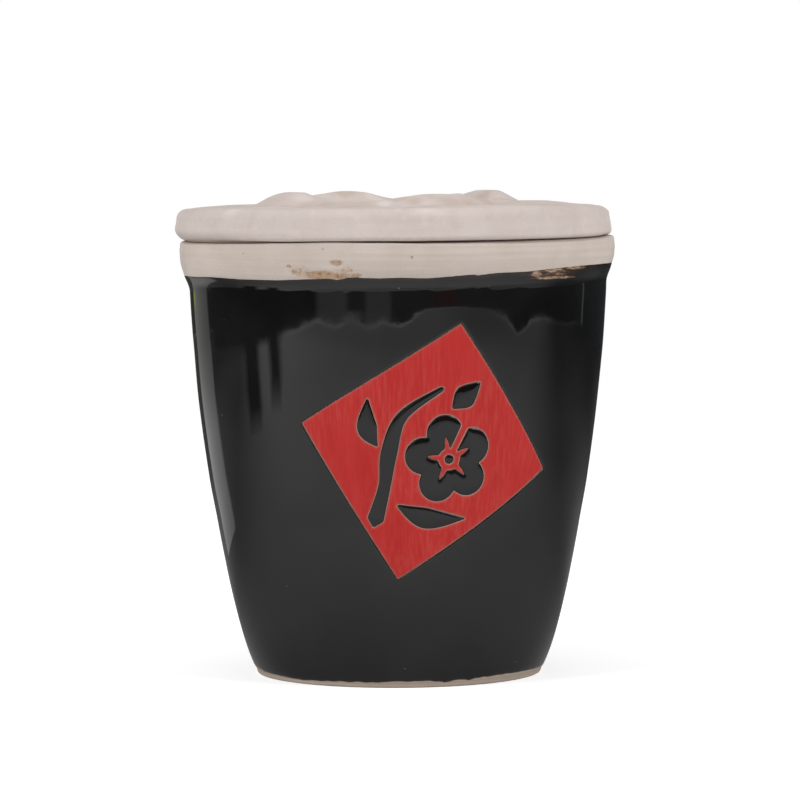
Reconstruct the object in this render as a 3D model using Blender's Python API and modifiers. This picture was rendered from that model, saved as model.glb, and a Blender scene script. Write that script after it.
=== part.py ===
"""Stoneware condiment jar with a loose clay lid, in metres, +Z up, front towards -Y.

The jar is a turned clay pot. Black glaze coats it outside between a bare rim band and a bare foot,
and lines it inside. A turned square window in the outer glaze holds a red slip panel, in which
islands of black glaze are left standing as a blossom sprig. The lid is a thick clay plate with a
ring beneath that keeps it in the mouth, and a ridge pinched up from its top to lift it by.
"""

import math

import bmesh
import bpy
from mathutils import Matrix

# Wall of the jar, as seen from outside
FOOT_RADIUS = 0.0522
FOOT_ROUND = 0.0010
FOOT_FLARE = 0.60  # outward lean of the wall where it leaves the foot
FOOT_CURVE = 0.0140  # height over which that lean is felt
NECK_RADIUS = 0.0763
NECK_HEIGHT = 0.1360
NECK_FLARE = 0.045
NECK_CURVE = 0.0450
BAND_HEIGHT = 0.0235  # rim band, above the neck
BAND_SWELL = 0.0037  # how far the band stands out from the neck
BAND_TAPER = 0.0003  # how much it still widens in its upper half
RIM_ROUND = 0.0013

# Inside of the jar
WALL_THICKNESS = 0.0072
BASE_THICKNESS = 0.0090
FLOOR_ROUND = 0.0140
LIP_WIDTH = 0.0112
MOUTH_ROUND = 0.0015

# Underside of the jar
FOOT_RING_WIDTH = 0.0085
FOOT_HOLLOW_DEPTH = 0.0012
FOOT_HOLLOW_EDGE = 0.0020

# Glaze and slip
SEAM = 0.0003  # hairline between pieces that touch
GLAZE_THICKNESS = 0.0008
SLIP_THICKNESS = 0.0004
BARE_RIM = 0.0128  # bare clay under the rim, on the jar's axis
GLAZE_TILT = math.radians(1.2)  # the jar was dipped at a slant, deeper at +X
BARE_FOOT = 0.0026
BARE_LIP_INSIDE = 0.0130
CLAY_LINE = 0.0004  # clay left bare round the slip and round each island

# Red panel, wrapped round the front of the wall
PANEL_SIDE = 0.0665
PANEL_TURN = math.radians(32.4)
PANEL_AZIMUTH = math.radians(8.3)
PANEL_LIFT = 0.0118  # its centre, above the middle of the glazed wall

# Blossom sprig, in hundredths of the panel's side, about the panel's centre
BLOSSOM_CENTRE = (12.0, -5.3)
BLOSSOM_TURN = 64.0
BLOSSOM_SLIT = 3.6
PETALS = 5
PETAL_DISTANCE = 14.1
PETAL_RADIUS = 9.9
HEART_RADIUS = 5.9
HEART_RAY = 6.3
HEART_RAY_SPREAD = 13.0
EYE_RADIUS = 2.6
# Brush strokes, by places along them: along the wall, up it, and half the stroke's width there
TWIG = ((-27, -37.5, 4.5), (-22.5, -19.5, 3.3), (-20.3, -1.5, 4.4), (-13.5, 18, 3.0), (7.5, 32.3, 1.4))
LEAF_LEFT = ((-27, 2.3, 0.8), (-32.3, 12, 5.4), (-32.3, 27, 0.6))
LEAF_LOW = ((-15, -30, 0.9), (0, -36.8, 5.6), (21, -37.5, 0.6))
BUD = ((14.3, 22.5, 1.5), (20.3, 27.8, 6.3), (27.8, 34.5, 1.5))

# Lid
LID_OVERHANG = 0.0002
LID_THICKNESS = 0.0118
LID_CROWN = 0.0008
LID_TOP_ROUND = 0.0040
LID_EDGE_ROUND = 0.0014
LID_SIDE_LEAN = 0.0006
LID_RELIEF = 0.0005  # the underside is lifted this much outside the seat
LID_SEAT_WIDTH = 0.0040
LID_SHIFT = -0.0014  # the lid stands a little to one side within its play
KEEPER_DROP = 0.0070  # ring under the lid
KEEPER_WIDTH = 0.0060
KEEPER_ROUND = 0.0015
MOUTH_PLAY = 0.0022

# Ridge pinched up on the lid
GRIP_RADIUS = 0.0406
GRIP_WIDTH = 0.0194
GRIP_SHIFT = (-0.0021, -0.0040)  # it was laid on by eye, off the middle of the lid
GRIP_PRESSED = 0.0003  # what is left of it where it was pressed down
GRIP_ARCHES = (  # where each arch stands, in degrees, its height, and how far it spreads
    (24, 0.0045, 36),
    (114, 0.0038, 36),
    (210, 0.0046, 45),
    (297, 0.0037, 47),
)

# Fineness of the faceted surfaces
TURNED_STEPS = 48
WALL_POINTS = 10
BAND_POINTS = 6
CORNER_POINTS = 3
SIDE_POINTS = 12
GRIP_RINGS = 9
PETAL_STEPS = (0, 7, 16, 26, 36, 46, 56, 65)  # degrees round one petal, from notch to notch
HEART_STEPS = (0, 23, 36, 49)

RIM_HEIGHT = NECK_HEIGHT + BAND_HEIGHT
RIM_RADIUS = NECK_RADIUS + BAND_SWELL
MOUTH_RADIUS = RIM_RADIUS - LIP_WIDTH
GLAZE_LINE = RIM_HEIGHT - BARE_RIM
INNER_GLAZE_LINE = RIM_HEIGHT - BARE_LIP_INSIDE
GLAZE_SEAT = GLAZE_THICKNESS + SEAM
PANEL_HEIGHT = (BARE_FOOT + GLAZE_LINE) / 2 + PANEL_LIFT
SPRIG_UNIT = PANEL_SIDE / 100
LID_RADIUS = RIM_RADIUS + LID_OVERHANG
LID_UNDERSIDE = RIM_HEIGHT + SEAM
LID_TOP = LID_UNDERSIDE + LID_THICKNESS

# Room that the cutters need
CUTTER_MARGIN = 0.0040
PRISM_SLACK = 0.0020
PRISM_INSIDE = 0.85 * FOOT_RADIUS
PRISM_OUTSIDE = 1.40 * RIM_RADIUS
WELD_DISTANCE = 1e-6
SCREW_MERGE = 1e-5


# Scene, collections and materials


def clear_scene():
    for old in list(bpy.data.objects):
        bpy.data.objects.remove(old, do_unlink=True)


def new_collection(name):
    collection = bpy.data.collections.new(name)
    bpy.context.scene.collection.children.link(collection)
    return collection


def material(name, colour, roughness, coat=0.0):
    made = bpy.data.materials.new(name)
    made.use_nodes = True
    shader = made.node_tree.nodes["Principled BSDF"]
    shader.inputs["Base Color"].default_value = (*colour, 1.0)
    shader.inputs["Roughness"].default_value = roughness
    shader.inputs["Metallic"].default_value = 0.0
    shader.inputs["Coat Weight"].default_value = coat
    return made


clear_scene()
JAR = new_collection("condiment_jar")
CUTTERS = new_collection("cutters")
BARE_CLAY = material("bare_clay", (0.56, 0.48, 0.43), 0.85)
LID_CLAY = material("lid_clay", (0.57, 0.48, 0.44), 0.88)
BLACK_GLAZE = material("black_glaze", (0.018, 0.018, 0.019), 0.12, coat=0.6)
LINING_GLAZE = material("lining_glaze", (0.045, 0.027, 0.020), 0.20, coat=0.4)
RED_SLIP = material("red_slip", (0.48, 0.030, 0.028), 0.55)


# Profiles, as lists of (radius, height)


def bezier(start, start_handle, end_handle, end, count):
    points = []
    corners = (start, start_handle, end_handle, end)
    for step in range(count):
        t = step / (count - 1)
        weights = ((1 - t) ** 3, 3 * (1 - t) ** 2 * t, 3 * (1 - t) * t**2, t**3)
        points.append(tuple(sum(w * c[axis] for w, c in zip(weights, corners)) for axis in (0, 1)))
    return points


def arc(centre, radius, first_degrees, last_degrees, count=CORNER_POINTS):
    points = []
    for step in range(count):
        angle = math.radians(first_degrees + (last_degrees - first_degrees) * step / (count - 1))
        points.append((centre[0] + radius * math.cos(angle), centre[1] + radius * math.sin(angle)))
    return points


def moved_in(points, distance):
    """The profile moved to its left by the distance, which is inwards for one that climbs."""
    moved = []
    for index, (radius, height) in enumerate(points):
        before = points[max(index - 1, 0)]
        after = points[min(index + 1, len(points) - 1)]
        run, rise = after[0] - before[0], after[1] - before[1]
        length = math.hypot(run, rise)
        moved.append((radius - distance * rise / length, height + distance * run / length))
    return moved


def radius_at(points, height):
    for (low_radius, low), (high_radius, high) in zip(points, points[1:]):
        if low <= height <= high:
            return low_radius + (high_radius - low_radius) * (height - low) / (high - low)
    return points[0][0] if height < points[0][1] else points[-1][0]


def between(points, low, high):
    """The stretch of a climbing profile between two heights, with its ends exactly there."""
    inside = [point for point in points if low < point[1] < high]
    return [(radius_at(points, low), low), *inside, (radius_at(points, high), high)]


def outer_wall():
    """Foot to rim, as seen from outside."""
    wall = bezier(
        (FOOT_RADIUS, FOOT_ROUND),
        (FOOT_RADIUS + FOOT_FLARE * FOOT_CURVE, FOOT_ROUND + FOOT_CURVE),
        (NECK_RADIUS - NECK_FLARE * NECK_CURVE, NECK_HEIGHT - NECK_CURVE),
        (NECK_RADIUS, NECK_HEIGHT),
        WALL_POINTS,
    )
    band_top = RIM_HEIGHT - RIM_ROUND
    half_band = BAND_HEIGHT / 2
    band = bezier(
        (NECK_RADIUS, NECK_HEIGHT),
        (NECK_RADIUS + NECK_FLARE * half_band, NECK_HEIGHT + half_band),
        (RIM_RADIUS - BAND_TAPER, band_top - half_band),
        (RIM_RADIUS, band_top),
        BAND_POINTS,
    )
    return wall + band[1:]


def inner_wall():
    """Centre of the floor to the mouth, as seen from inside."""
    corner_top = BASE_THICKNESS + FLOOR_ROUND
    climb = between(moved_in(OUTER, WALL_THICKNESS), corner_top, NECK_HEIGHT)
    (low_radius, low), (next_radius, following) = climb[0], climb[1]
    lean = (next_radius - low_radius) / (following - low)
    corner = (low_radius - lean * FLOOR_ROUND, BASE_THICKNESS)
    floor_edge = (corner[0] - FLOOR_ROUND, BASE_THICKNESS)
    rounded = bezier(floor_edge, corner, corner, climb[0], CORNER_POINTS + 2)
    return [(0.0, BASE_THICKNESS), *rounded, *climb[1:], (MOUTH_RADIUS, RIM_HEIGHT - MOUTH_ROUND)]


def inside_up_to(top):
    """The inner wall from the floor's centre up to a height."""
    below = [point for point in INNER if point[1] < top]
    return [*below, (radius_at(INNER[1:], top), top)]


OUTER = outer_wall()
INNER = inner_wall()


# Solids


def link(obj, collection, surface=None):
    for linked in list(obj.users_collection):
        linked.objects.unlink(obj)
    collection.objects.link(obj)
    if surface:
        obj.data.materials.clear()
        obj.data.materials.append(surface)
    if collection is CUTTERS:
        obj.hide_render = True
        obj.display_type = "WIRE"
    return obj


def as_mesh(obj, collection, surface=None):
    """The object as a mesh, with its modifiers applied, its points welded and its faces out."""
    bpy.context.view_layer.update()
    graph = bpy.context.evaluated_depsgraph_get()
    data = bpy.data.meshes.new_from_object(obj.evaluated_get(graph))
    mesh = bmesh.new()
    mesh.from_mesh(data)
    mesh.transform(obj.matrix_world)
    bmesh.ops.remove_doubles(mesh, verts=mesh.verts, dist=WELD_DISTANCE)
    bmesh.ops.recalc_face_normals(mesh, faces=mesh.faces)
    mesh.to_mesh(data)
    mesh.free()
    name = obj.name
    bpy.data.objects.remove(obj, do_unlink=True)
    return link(bpy.data.objects.new(name, data), collection, surface)


def turned(name, profile, collection, surface=None, closed=False):
    """A profile in the XZ plane turned about Z. A closed profile makes a ring."""
    count = len(profile)
    edges = [(index, index + 1) for index in range(count - 1)]
    if closed:
        edges.append((count - 1, 0))
    data = bpy.data.meshes.new(name)
    data.from_pydata([(radius, 0.0, height) for radius, height in profile], edges, [])
    obj = bpy.data.objects.new(name, data)
    collection.objects.link(obj)
    screw = obj.modifiers.new("turn", "SCREW")
    screw.axis = "Z"
    screw.steps = TURNED_STEPS
    screw.render_steps = TURNED_STEPS
    screw.use_merge_vertices = True
    screw.merge_threshold = SCREW_MERGE
    return as_mesh(obj, collection, surface)


def combine(obj, other, operation):
    """The object after a Boolean with the other, which stays as a hidden guide."""
    collection = obj.users_collection[0]
    surface = obj.data.materials[0] if obj.data.materials else None
    modifier = obj.modifiers.new(operation.lower(), "BOOLEAN")
    modifier.operation = operation
    modifier.solver = "EXACT"
    modifier.object = other
    return as_mesh(obj, collection, surface)


def above_glaze_line(name, drop):
    """A slanted block over everything above the glaze's upper edge, lowered by the drop."""
    side = 4 * RIM_RADIUS
    mesh = bmesh.new()
    bmesh.ops.create_cube(mesh, size=side)
    bmesh.ops.translate(mesh, verts=mesh.verts, vec=(0, 0, side / 2))
    bmesh.ops.rotate(mesh, verts=mesh.verts, matrix=Matrix.Rotation(-GLAZE_TILT, 3, "Y"))
    bmesh.ops.translate(mesh, verts=mesh.verts, vec=(0, 0, GLAZE_LINE - drop))
    data = bpy.data.meshes.new(name)
    mesh.to_mesh(data)
    mesh.free()
    return link(bpy.data.objects.new(name, data), CUTTERS)


def glaze_skin(name, front, back, gap, collection, surface=None):
    """A skin between two depths in the wall, from the bare foot up to the glaze line.

    Its edges stay back from both by the gap.
    """
    slant = RIM_RADIUS * math.tan(GLAZE_TILT)
    points = between(OUTER, BARE_FOOT + gap, GLAZE_LINE + slant + CUTTER_MARGIN)
    profile = [*moved_in(points, front), *reversed(moved_in(points, back))]
    skin = turned(name, profile, collection, surface, closed=True)
    return combine(skin, above_glaze_line(name + "_line", gap), "DIFFERENCE")


# Outlines on the wall, as lists of (along, up) from the panel's centre


def flat_prism(name, outline):
    """An outline as a flat plate that reaches from -1 to 1 along Z."""
    curve = bpy.data.curves.new(name, "CURVE")
    curve.dimensions = "2D"
    curve.fill_mode = "BOTH"
    curve.extrude = 1.0
    spline = curve.splines.new("POLY")
    spline.points.add(len(outline) - 1)
    for point, (along, up) in zip(spline.points, outline):
        point.co = (along, up, 0.0, 1.0)
    spline.use_cyclic_u = True
    flat = bpy.data.objects.new(name, curve)
    CUTTERS.objects.link(flat)
    return as_mesh(flat, CUTTERS)


def wrapped_prism(name, outline):
    """A cutter whose outline is wrapped round the wall. Its sides all point at the jar's axis.

    Two loops close to the wall keep the sides true there, and the caps stand far enough off for
    their flat faces to clear the wall.
    """
    prism = flat_prism(name, outline)
    mesh = bmesh.new()
    mesh.from_mesh(prism.data)
    for level in (-0.5, 0.5):
        everything = [*mesh.verts, *mesh.edges, *mesh.faces]
        bmesh.ops.bisect_plane(mesh, geom=everything, plane_co=(0, 0, level), plane_no=(0, 0, 1))
    for vertex in mesh.verts:
        along, up, level = vertex.co
        height = PANEL_HEIGHT + up
        wall = radius_at(OUTER, height)
        angle = PANEL_AZIMUTH + along / wall
        if abs(level) > 0.75:
            radius = PRISM_OUTSIDE if level > 0 else PRISM_INSIDE
        else:
            radius = wall + math.copysign(PRISM_SLACK, level)
        vertex.co = (radius * math.sin(angle), -radius * math.cos(angle), height)
    mesh.to_mesh(prism.data)
    mesh.free()
    return as_mesh(prism, CUTTERS)


def panel_square(side):
    """The turned square, with points along its sides so that it can bend round the wall."""
    half = side / 2
    corners = [(-half, -half), (half, -half), (half, half), (-half, half)]
    points = []
    for start, end in zip(corners, corners[1:] + corners[:1]):
        for step in range(SIDE_POINTS):
            x, y = (a + (b - a) * step / SIDE_POINTS for a, b in zip(start, end))
            along = x * math.cos(PANEL_TURN) - y * math.sin(PANEL_TURN)
            up = x * math.sin(PANEL_TURN) + y * math.cos(PANEL_TURN)
            points.append((along, up))
    return points


# The sprig, in its own units


def smooth_path(stations, samples):
    """A Catmull-Rom curve through the stations."""
    ends = [stations[0], *stations, stations[-1]]
    path = []
    for step in range(samples):
        place = step / (samples - 1) * (len(stations) - 1)
        index = min(int(place), len(stations) - 2)
        t = place - index
        weights = (
            (-t + 2 * t**2 - t**3) / 2,
            (2 - 5 * t**2 + 3 * t**3) / 2,
            (t + 4 * t**2 - 3 * t**3) / 2,
            (t**3 - t**2) / 2,
        )
        near = zip(*ends[index : index + 4])
        path.append(tuple(sum(w * value for w, value in zip(weights, values)) for values in near))
    return path


def brush_stroke(stations, grow, samples):
    """The outline of a stroke with pointed ends, grown outwards all round."""
    path = smooth_path(stations, samples)
    left, right = [], []
    for index, (along, up, half) in enumerate(path):
        before, after = path[max(index - 1, 0)], path[min(index + 1, samples - 1)]
        run, rise = after[0] - before[0], after[1] - before[1]
        length = math.hypot(run, rise)
        reach = half + grow
        left.append((along - reach * rise / length, up + reach * run / length))
        right.append((along + reach * rise / length, up - reach * run / length))
    tips = []
    for end, inner in ((path[0], path[1]), (path[-1], path[-2])):
        length = math.hypot(end[0] - inner[0], end[1] - inner[1])
        reach = end[2] + grow
        tips.append(tuple(a + reach * (a - b) / length for a, b in zip(end[:2], inner[:2])))
    return [tips[0], *left, tips[1], *reversed(right)]


def petal_reach(off_degrees, grow):
    """How far the blossom reaches at an angle from a petal's middle."""
    off = math.radians(off_degrees)
    side = PETAL_DISTANCE * math.sin(off)
    return PETAL_DISTANCE * math.cos(off) + math.sqrt((PETAL_RADIUS + grow) ** 2 - side**2)


def heart_reach(off_degrees, grow):
    """How far the red heart reaches, with a ray into each petal."""
    ray = max(0.0, 1 - abs(off_degrees) / HEART_RAY_SPREAD)
    return HEART_RADIUS + HEART_RAY * ray - grow


def blossom(grow):
    """Round petals about a star-shaped heart, with a slit that lets the red in between two."""
    petal_turn = 360 / PETALS
    notch = petal_turn / 2
    outline = []
    for reach_at, steps, order in ((petal_reach, PETAL_STEPS, 1), (heart_reach, HEART_STEPS, -1)):
        slit = math.degrees(math.asin((BLOSSOM_SLIT / 2 - grow) / reach_at(notch, grow)))
        around = [petal_turn * petal + step for petal in range(PETALS) for step in steps]
        for angle in [slit, *around[1:], 360 - slit][::order]:
            reach = reach_at(angle % petal_turn - notch, grow)
            turn = math.radians(BLOSSOM_TURN + angle)
            along = BLOSSOM_CENTRE[0] + reach * math.cos(turn)
            outline.append((along, BLOSSOM_CENTRE[1] + reach * math.sin(turn)))
    return outline


def sprig(bare):
    """Each island's outline in metres by its node's name, grown by the clay left bare round it."""
    grow = bare / SPRIG_UNIT
    outlines = {
        "motif_blossom": blossom(grow),
        "motif_blossom_eye": arc(BLOSSOM_CENTRE, EYE_RADIUS + grow, 0, 330, 12),
        "motif_twig": brush_stroke(TWIG, grow, 17),
        "motif_leaf_left": brush_stroke(LEAF_LEFT, grow, 11),
        "motif_leaf_low": brush_stroke(LEAF_LOW, grow, 11),
        "motif_bud": brush_stroke(BUD, grow, 9),
    }
    return {
        name: [(along * SPRIG_UNIT, up * SPRIG_UNIT) for along, up in outline]
        for name, outline in outlines.items()
    }


# Pieces of the jar


def build_jar_body():
    foot_flat = FOOT_RADIUS - FOOT_ROUND
    ring_inside = foot_flat - FOOT_RING_WIDTH
    underside = [
        (0.0, FOOT_HOLLOW_DEPTH),
        (ring_inside - FOOT_HOLLOW_EDGE, FOOT_HOLLOW_DEPTH),
        (ring_inside, 0.0),
    ]
    foot = arc((foot_flat, FOOT_ROUND), FOOT_ROUND, -90, 0)
    rim = arc((RIM_RADIUS - RIM_ROUND, RIM_HEIGHT - RIM_ROUND), RIM_ROUND, 0, 90)
    mouth = arc((MOUTH_RADIUS + MOUTH_ROUND, RIM_HEIGHT - MOUTH_ROUND), MOUTH_ROUND, 90, 180)
    profile = [*underside, *foot, *OUTER[1:-1], *rim, *mouth, *reversed(INNER[:-1])]
    body = turned("jar_body", profile, JAR, BARE_CLAY)

    outer_seat = glaze_skin("outer_glaze_seat", -CUTTER_MARGIN, GLAZE_SEAT, 0.0, CUTTERS)
    body = combine(body, outer_seat, "DIFFERENCE")

    seat_profile = moved_in(inside_up_to(INNER_GLAZE_LINE), -GLAZE_SEAT)
    seat_top = seat_profile[-1][1]
    inner_seat = turned("inner_glaze_seat", [*seat_profile, (0.0, seat_top)], CUTTERS)
    return combine(body, inner_seat, "DIFFERENCE")


def build_inner_glaze():
    face = inside_up_to(INNER_GLAZE_LINE - SEAM)
    back = moved_in(face, -GLAZE_THICKNESS)
    return turned("inner_glaze", [*back, *reversed(face)], JAR, LINING_GLAZE)


def build_outer_glaze():
    glaze = glaze_skin("outer_glaze", 0.0, GLAZE_THICKNESS, SEAM, JAR, BLACK_GLAZE)
    window = wrapped_prism("panel_window", panel_square(PANEL_SIDE))
    return combine(glaze, window, "DIFFERENCE")


def build_red_panel():
    """The slip lies deeper than the glaze, so that the islands stand above it."""
    front = GLAZE_THICKNESS - SLIP_THICKNESS
    panel = glaze_skin("red_panel", front, GLAZE_THICKNESS, SEAM, JAR, RED_SLIP)
    square = wrapped_prism("red_panel_square", panel_square(PANEL_SIDE - 2 * CLAY_LINE))
    panel = combine(panel, square, "INTERSECT")
    for name, outline in sprig(CLAY_LINE).items():
        panel = combine(panel, wrapped_prism(name + "_clearance", outline), "DIFFERENCE")
    return panel


def build_sprig():
    for name, outline in sprig(0.0).items():
        island = glaze_skin(name, 0.0, GLAZE_THICKNESS, SEAM, JAR, BLACK_GLAZE)
        combine(island, wrapped_prism(name + "_outline", outline), "INTERSECT")


# The lid


def lid_top_at(radius):
    """Height of the lid's crowned top, without the ridge."""
    return LID_TOP + LID_CROWN * (1 - (radius / LID_RADIUS) ** 2)


def ridge_at(x, y):
    """How far the ridge stands above the plate at a place on the lid."""
    x, y = x - GRIP_SHIFT[0], y - GRIP_SHIFT[1]
    across = abs(math.hypot(x, y) - GRIP_RADIUS) / (GRIP_WIDTH / 2)
    if across >= 1:
        return 0.0
    crest = GRIP_PRESSED
    for direction, height, spread in GRIP_ARCHES:
        off = abs((math.degrees(math.atan2(y, x)) - direction + 180) % 360 - 180)
        if off < spread:
            crest += (height - GRIP_PRESSED) * (1 + math.cos(math.pi * off / spread)) / 2
    return crest * ((1 + math.cos(math.pi * across)) / 2) ** 0.75


def crown_radii(edge):
    """Where the top's rings lie, from its edge to its centre, close together under the ridge."""
    reach = GRIP_WIDTH / 2 + math.hypot(*GRIP_SHIFT)
    outside, inside = GRIP_RADIUS + reach, GRIP_RADIUS - reach
    ridge = [outside + (inside - outside) * ring / GRIP_RINGS for ring in range(GRIP_RINGS + 1)]
    return [(edge + outside) / 2, *ridge, inside / 2, 0.0]


def lid_profile():
    keeper_outside = MOUTH_RADIUS - MOUTH_PLAY
    keeper_inside = keeper_outside - KEEPER_WIDTH
    keeper_low = LID_UNDERSIDE - KEEPER_DROP + KEEPER_ROUND
    edge_low = LID_UNDERSIDE + LID_RELIEF + LID_EDGE_ROUND
    top_edge = LID_RADIUS - LID_SIDE_LEAN - LID_TOP_ROUND
    return [
        (0.0, LID_UNDERSIDE),
        (keeper_inside, LID_UNDERSIDE),
        *arc((keeper_inside + KEEPER_ROUND, keeper_low), KEEPER_ROUND, 180, 270),
        *arc((keeper_outside - KEEPER_ROUND, keeper_low), KEEPER_ROUND, -90, 0),
        (keeper_outside, LID_UNDERSIDE),
        (MOUTH_RADIUS + MOUTH_ROUND + LID_SEAT_WIDTH, LID_UNDERSIDE),
        *arc((LID_RADIUS - LID_EDGE_ROUND, edge_low), LID_EDGE_ROUND, -90, 0),
        *arc((top_edge, lid_top_at(top_edge) - LID_TOP_ROUND), LID_TOP_ROUND, 0, 90, CORNER_POINTS + 2),
        *[(radius, lid_top_at(radius)) for radius in crown_radii(top_edge)],
    ]


def build_lid():
    """One piece of clay: the ridge is pinched up from the turned plate."""
    lid = turned("lid", lid_profile(), JAR, LID_CLAY)
    for vertex in lid.data.vertices:
        if vertex.co.z > LID_TOP:
            vertex.co.z += ridge_at(vertex.co.x, vertex.co.y)
    lid.location.x = LID_SHIFT
    return lid


def shade(obj):
    obj.data.shade_smooth()
    obj.data.set_sharp_from_angle(angle=math.radians(35))


build_jar_body()
build_inner_glaze()
build_outer_glaze()
build_red_panel()
build_sprig()
build_lid()
for piece in JAR.objects:
    shade(piece)
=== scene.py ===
"""Looks of a stoneware condiment jar, in metres, +Z up, front towards -Y.

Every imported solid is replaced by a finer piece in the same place: the turned clay pot with its bare
rim and foot, the black coat and the lining, the brushed red slip, the islands of the blossom sprig,
and the lid with its pinched ridge.
"""

import math

import bpy
import numpy as np
from mathutils import Matrix, Vector, geometry, kdtree, noise


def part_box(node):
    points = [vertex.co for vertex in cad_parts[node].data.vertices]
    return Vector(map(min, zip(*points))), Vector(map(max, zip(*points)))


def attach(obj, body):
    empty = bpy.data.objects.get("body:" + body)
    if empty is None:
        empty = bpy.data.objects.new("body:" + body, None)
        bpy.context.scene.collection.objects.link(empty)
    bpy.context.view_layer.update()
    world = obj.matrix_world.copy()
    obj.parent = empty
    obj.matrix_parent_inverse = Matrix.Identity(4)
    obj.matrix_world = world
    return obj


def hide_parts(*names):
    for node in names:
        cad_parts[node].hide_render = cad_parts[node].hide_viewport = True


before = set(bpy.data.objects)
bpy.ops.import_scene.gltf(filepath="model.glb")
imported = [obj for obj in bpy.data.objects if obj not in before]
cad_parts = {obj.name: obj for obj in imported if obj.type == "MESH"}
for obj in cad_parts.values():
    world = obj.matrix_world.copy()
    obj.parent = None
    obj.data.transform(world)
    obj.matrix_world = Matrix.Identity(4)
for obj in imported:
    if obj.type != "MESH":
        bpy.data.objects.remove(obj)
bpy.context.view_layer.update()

# Photograph: a square picture, and where its camera stood
PHOTO_SIDE = 800
FOCAL_PIXELS = 4377.4
SENSOR_WIDTH = 36.0  # millimetres
CAMERA_DISTANCE = 1.6028
CAMERA_HEIGHT = 0.1965
CAMERA_SIDE = 0.0010
CAMERA_PITCH = 0.0603
CAMERA_ROLL = 0.0047

# Wall of the pot, as in the part but with a sharper neck, as the outline shows it
FOOT_RADIUS = 0.0522
FOOT_ROUND = 0.0010
FOOT_FLARE = 0.60
FOOT_CURVE = 0.0150
NECK_RADIUS = 0.07625
NECK_HEIGHT = 0.1422
NECK_FLARE = 0.045
NECK_CURVE = 0.0520
BAND_HEIGHT = 0.0173
BAND_SWELL = 0.00350
BAND_LOW_HANDLE = 0.0014
BAND_HIGH_HANDLE = 0.0095
RIM_ROUND = 0.0012
# What the outline adds to those curves: height and radius, then height and shift towards +X
WALL_TRIM = (
    (0, 0), (0.016, 0.00006), (0.03, 0.00003), (0.044, -0.00004), (0.056, -0.00004), (0.072, 0.00026),
    (0.095, 0.00027), (0.12, 0.00009), (0.136, 0), (0.148, 0), (0.153, 0.00012), (0.1555, 0),
    (0.1582, -0.0003),
)
WALL_LEAN = (
    (0, 0.00022), (0.014, 0.0003), (0.1, 0.00025), (0.122, 0.00048), (0.14, 0.00052), (0.1428, 0.00046),
    (0.1468, 0), (0.149, 0), (0.153, 0.00022), (0.1595, 0.0001),
)
WALL_THICKNESS = 0.0072
BASE_THICKNESS = 0.0090
FLOOR_ROUND = 0.0140
LIP_WIDTH = 0.0112
MOUTH_ROUND = 0.0015
FOOT_RING_WIDTH = 0.0085
FOOT_HOLLOW_DEPTH = 0.0012
FOOT_HOLLOW_EDGE = 0.0020
BARE_LIP_INSIDE = 0.0130
SEAM = 0.0003

RIM_HEIGHT = NECK_HEIGHT + BAND_HEIGHT
RIM_RADIUS = NECK_RADIUS + BAND_SWELL
MOUTH_RADIUS = RIM_RADIUS - LIP_WIDTH
INNER_GLAZE_LINE = RIM_HEIGHT - BARE_LIP_INSIDE
JUST_OVER_FLOOR = BASE_THICKNESS * 1.01

# Unevenness of the bare clay, which the potter's hands leave, in layers of depth, size, squeeze in
# height and seed, and how far the clay is turned in to stay within the solid
POT_UNEVEN = ((0.00012, 0.030, 1, 21), (0.00010, 0.030, 14, 23), (0.00004, 0.0065, 1, 25))
POT_TURNED_IN = 0.00012
LID_SIDE_UNEVEN = ((0.00018, 0.026, 1, 71), (0.00010, 0.026, 12, 73), (0.00005, 0.0070, 1, 75))
LID_TOP_UNEVEN = ((0.00016, 0.017, 1, 77), (0.00008, 0.0070, 1, 75))
LID_TURNED_IN = 0.00026

# The rim was cut by eye: it climbs towards +X, about a line that keeps the lid's crest in place
RIM_SLANT = 0.0092
SLANT_LINE = 0.0330
SLANT_START = 0.1360
SLANT_RUN = 0.0235
# How far the rim's outer edge stands above the cut, by degrees round from the front
RIM_SWAY = (
    (-100, 0), (-74, -0.00055), (-60, -0.00036), (-45, -0.00004), (-30, 0.00027), (-18, 0.00047),
    (-4, 0.00014), (8, -0.00028), (20, -0.00052), (34, -0.00089), (52, -0.00087), (68, -0.00058),
    (80, 0),
)
RIM_SWAY_INSIDE = 0.0752  # from this radius outwards
RIM_SWAY_RUN = 0.0030
RIM_SWAY_DEPTH = 0.0070
# The neck under the rim climbs more steeply at its sides, and stands higher in front and behind
NECK_TOP = 0.1490
NECK_RUN = 0.0070
NECK_SLANT = 0.0150
NECK_SLANT_START = 0.1180
NECK_SLANT_RUN = 0.0200
NECK_RISE = 0.0018
NECK_RISE_START = 0.1360
NECK_RISE_RUN = 0.0060
NECK_SIDE = 0.0150  # out to this far from the middle plane the neck is as at the sides
NECK_SIDE_RUN = 0.0350

# Upper edge of the black coat, as degrees round from the front and height
GLAZE_EDGE = (
    (-80.5, 0.1461), (-67.5, 0.1462), (-60, 0.1465), (-54, 0.1464), (-47, 0.1461), (-33.3, 0.146),
    (-23.9, 0.1465), (-17.5, 0.1468), (-15.5, 0.1463), (-12, 0.1473), (-9, 0.1471), (-4.5, 0.1469),
    (0.9, 0.1471), (8.1, 0.1468), (14.1, 0.1474), (20.4, 0.148), (21.2, 0.1476), (26.6, 0.1484),
    (35.9, 0.1486), (46.5, 0.1495), (56.4, 0.15), (71.7, 0.1503), (100, 0.15), (135, 0.1489),
    (170, 0.148), (215, 0.1464), (250, 0.1458),
)
GLAZE_EDGE_RAGGED = 0.00022
GLAZE_FOOT = 0.0020  # lower edge of the coat
GLAZE_FOOT_SLANT = 0.0130  # it climbs towards +X
GLAZE_FOOT_SWAY = 0.0006
GLAZE_FOOT_RAGGED = 0.0006
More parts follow.
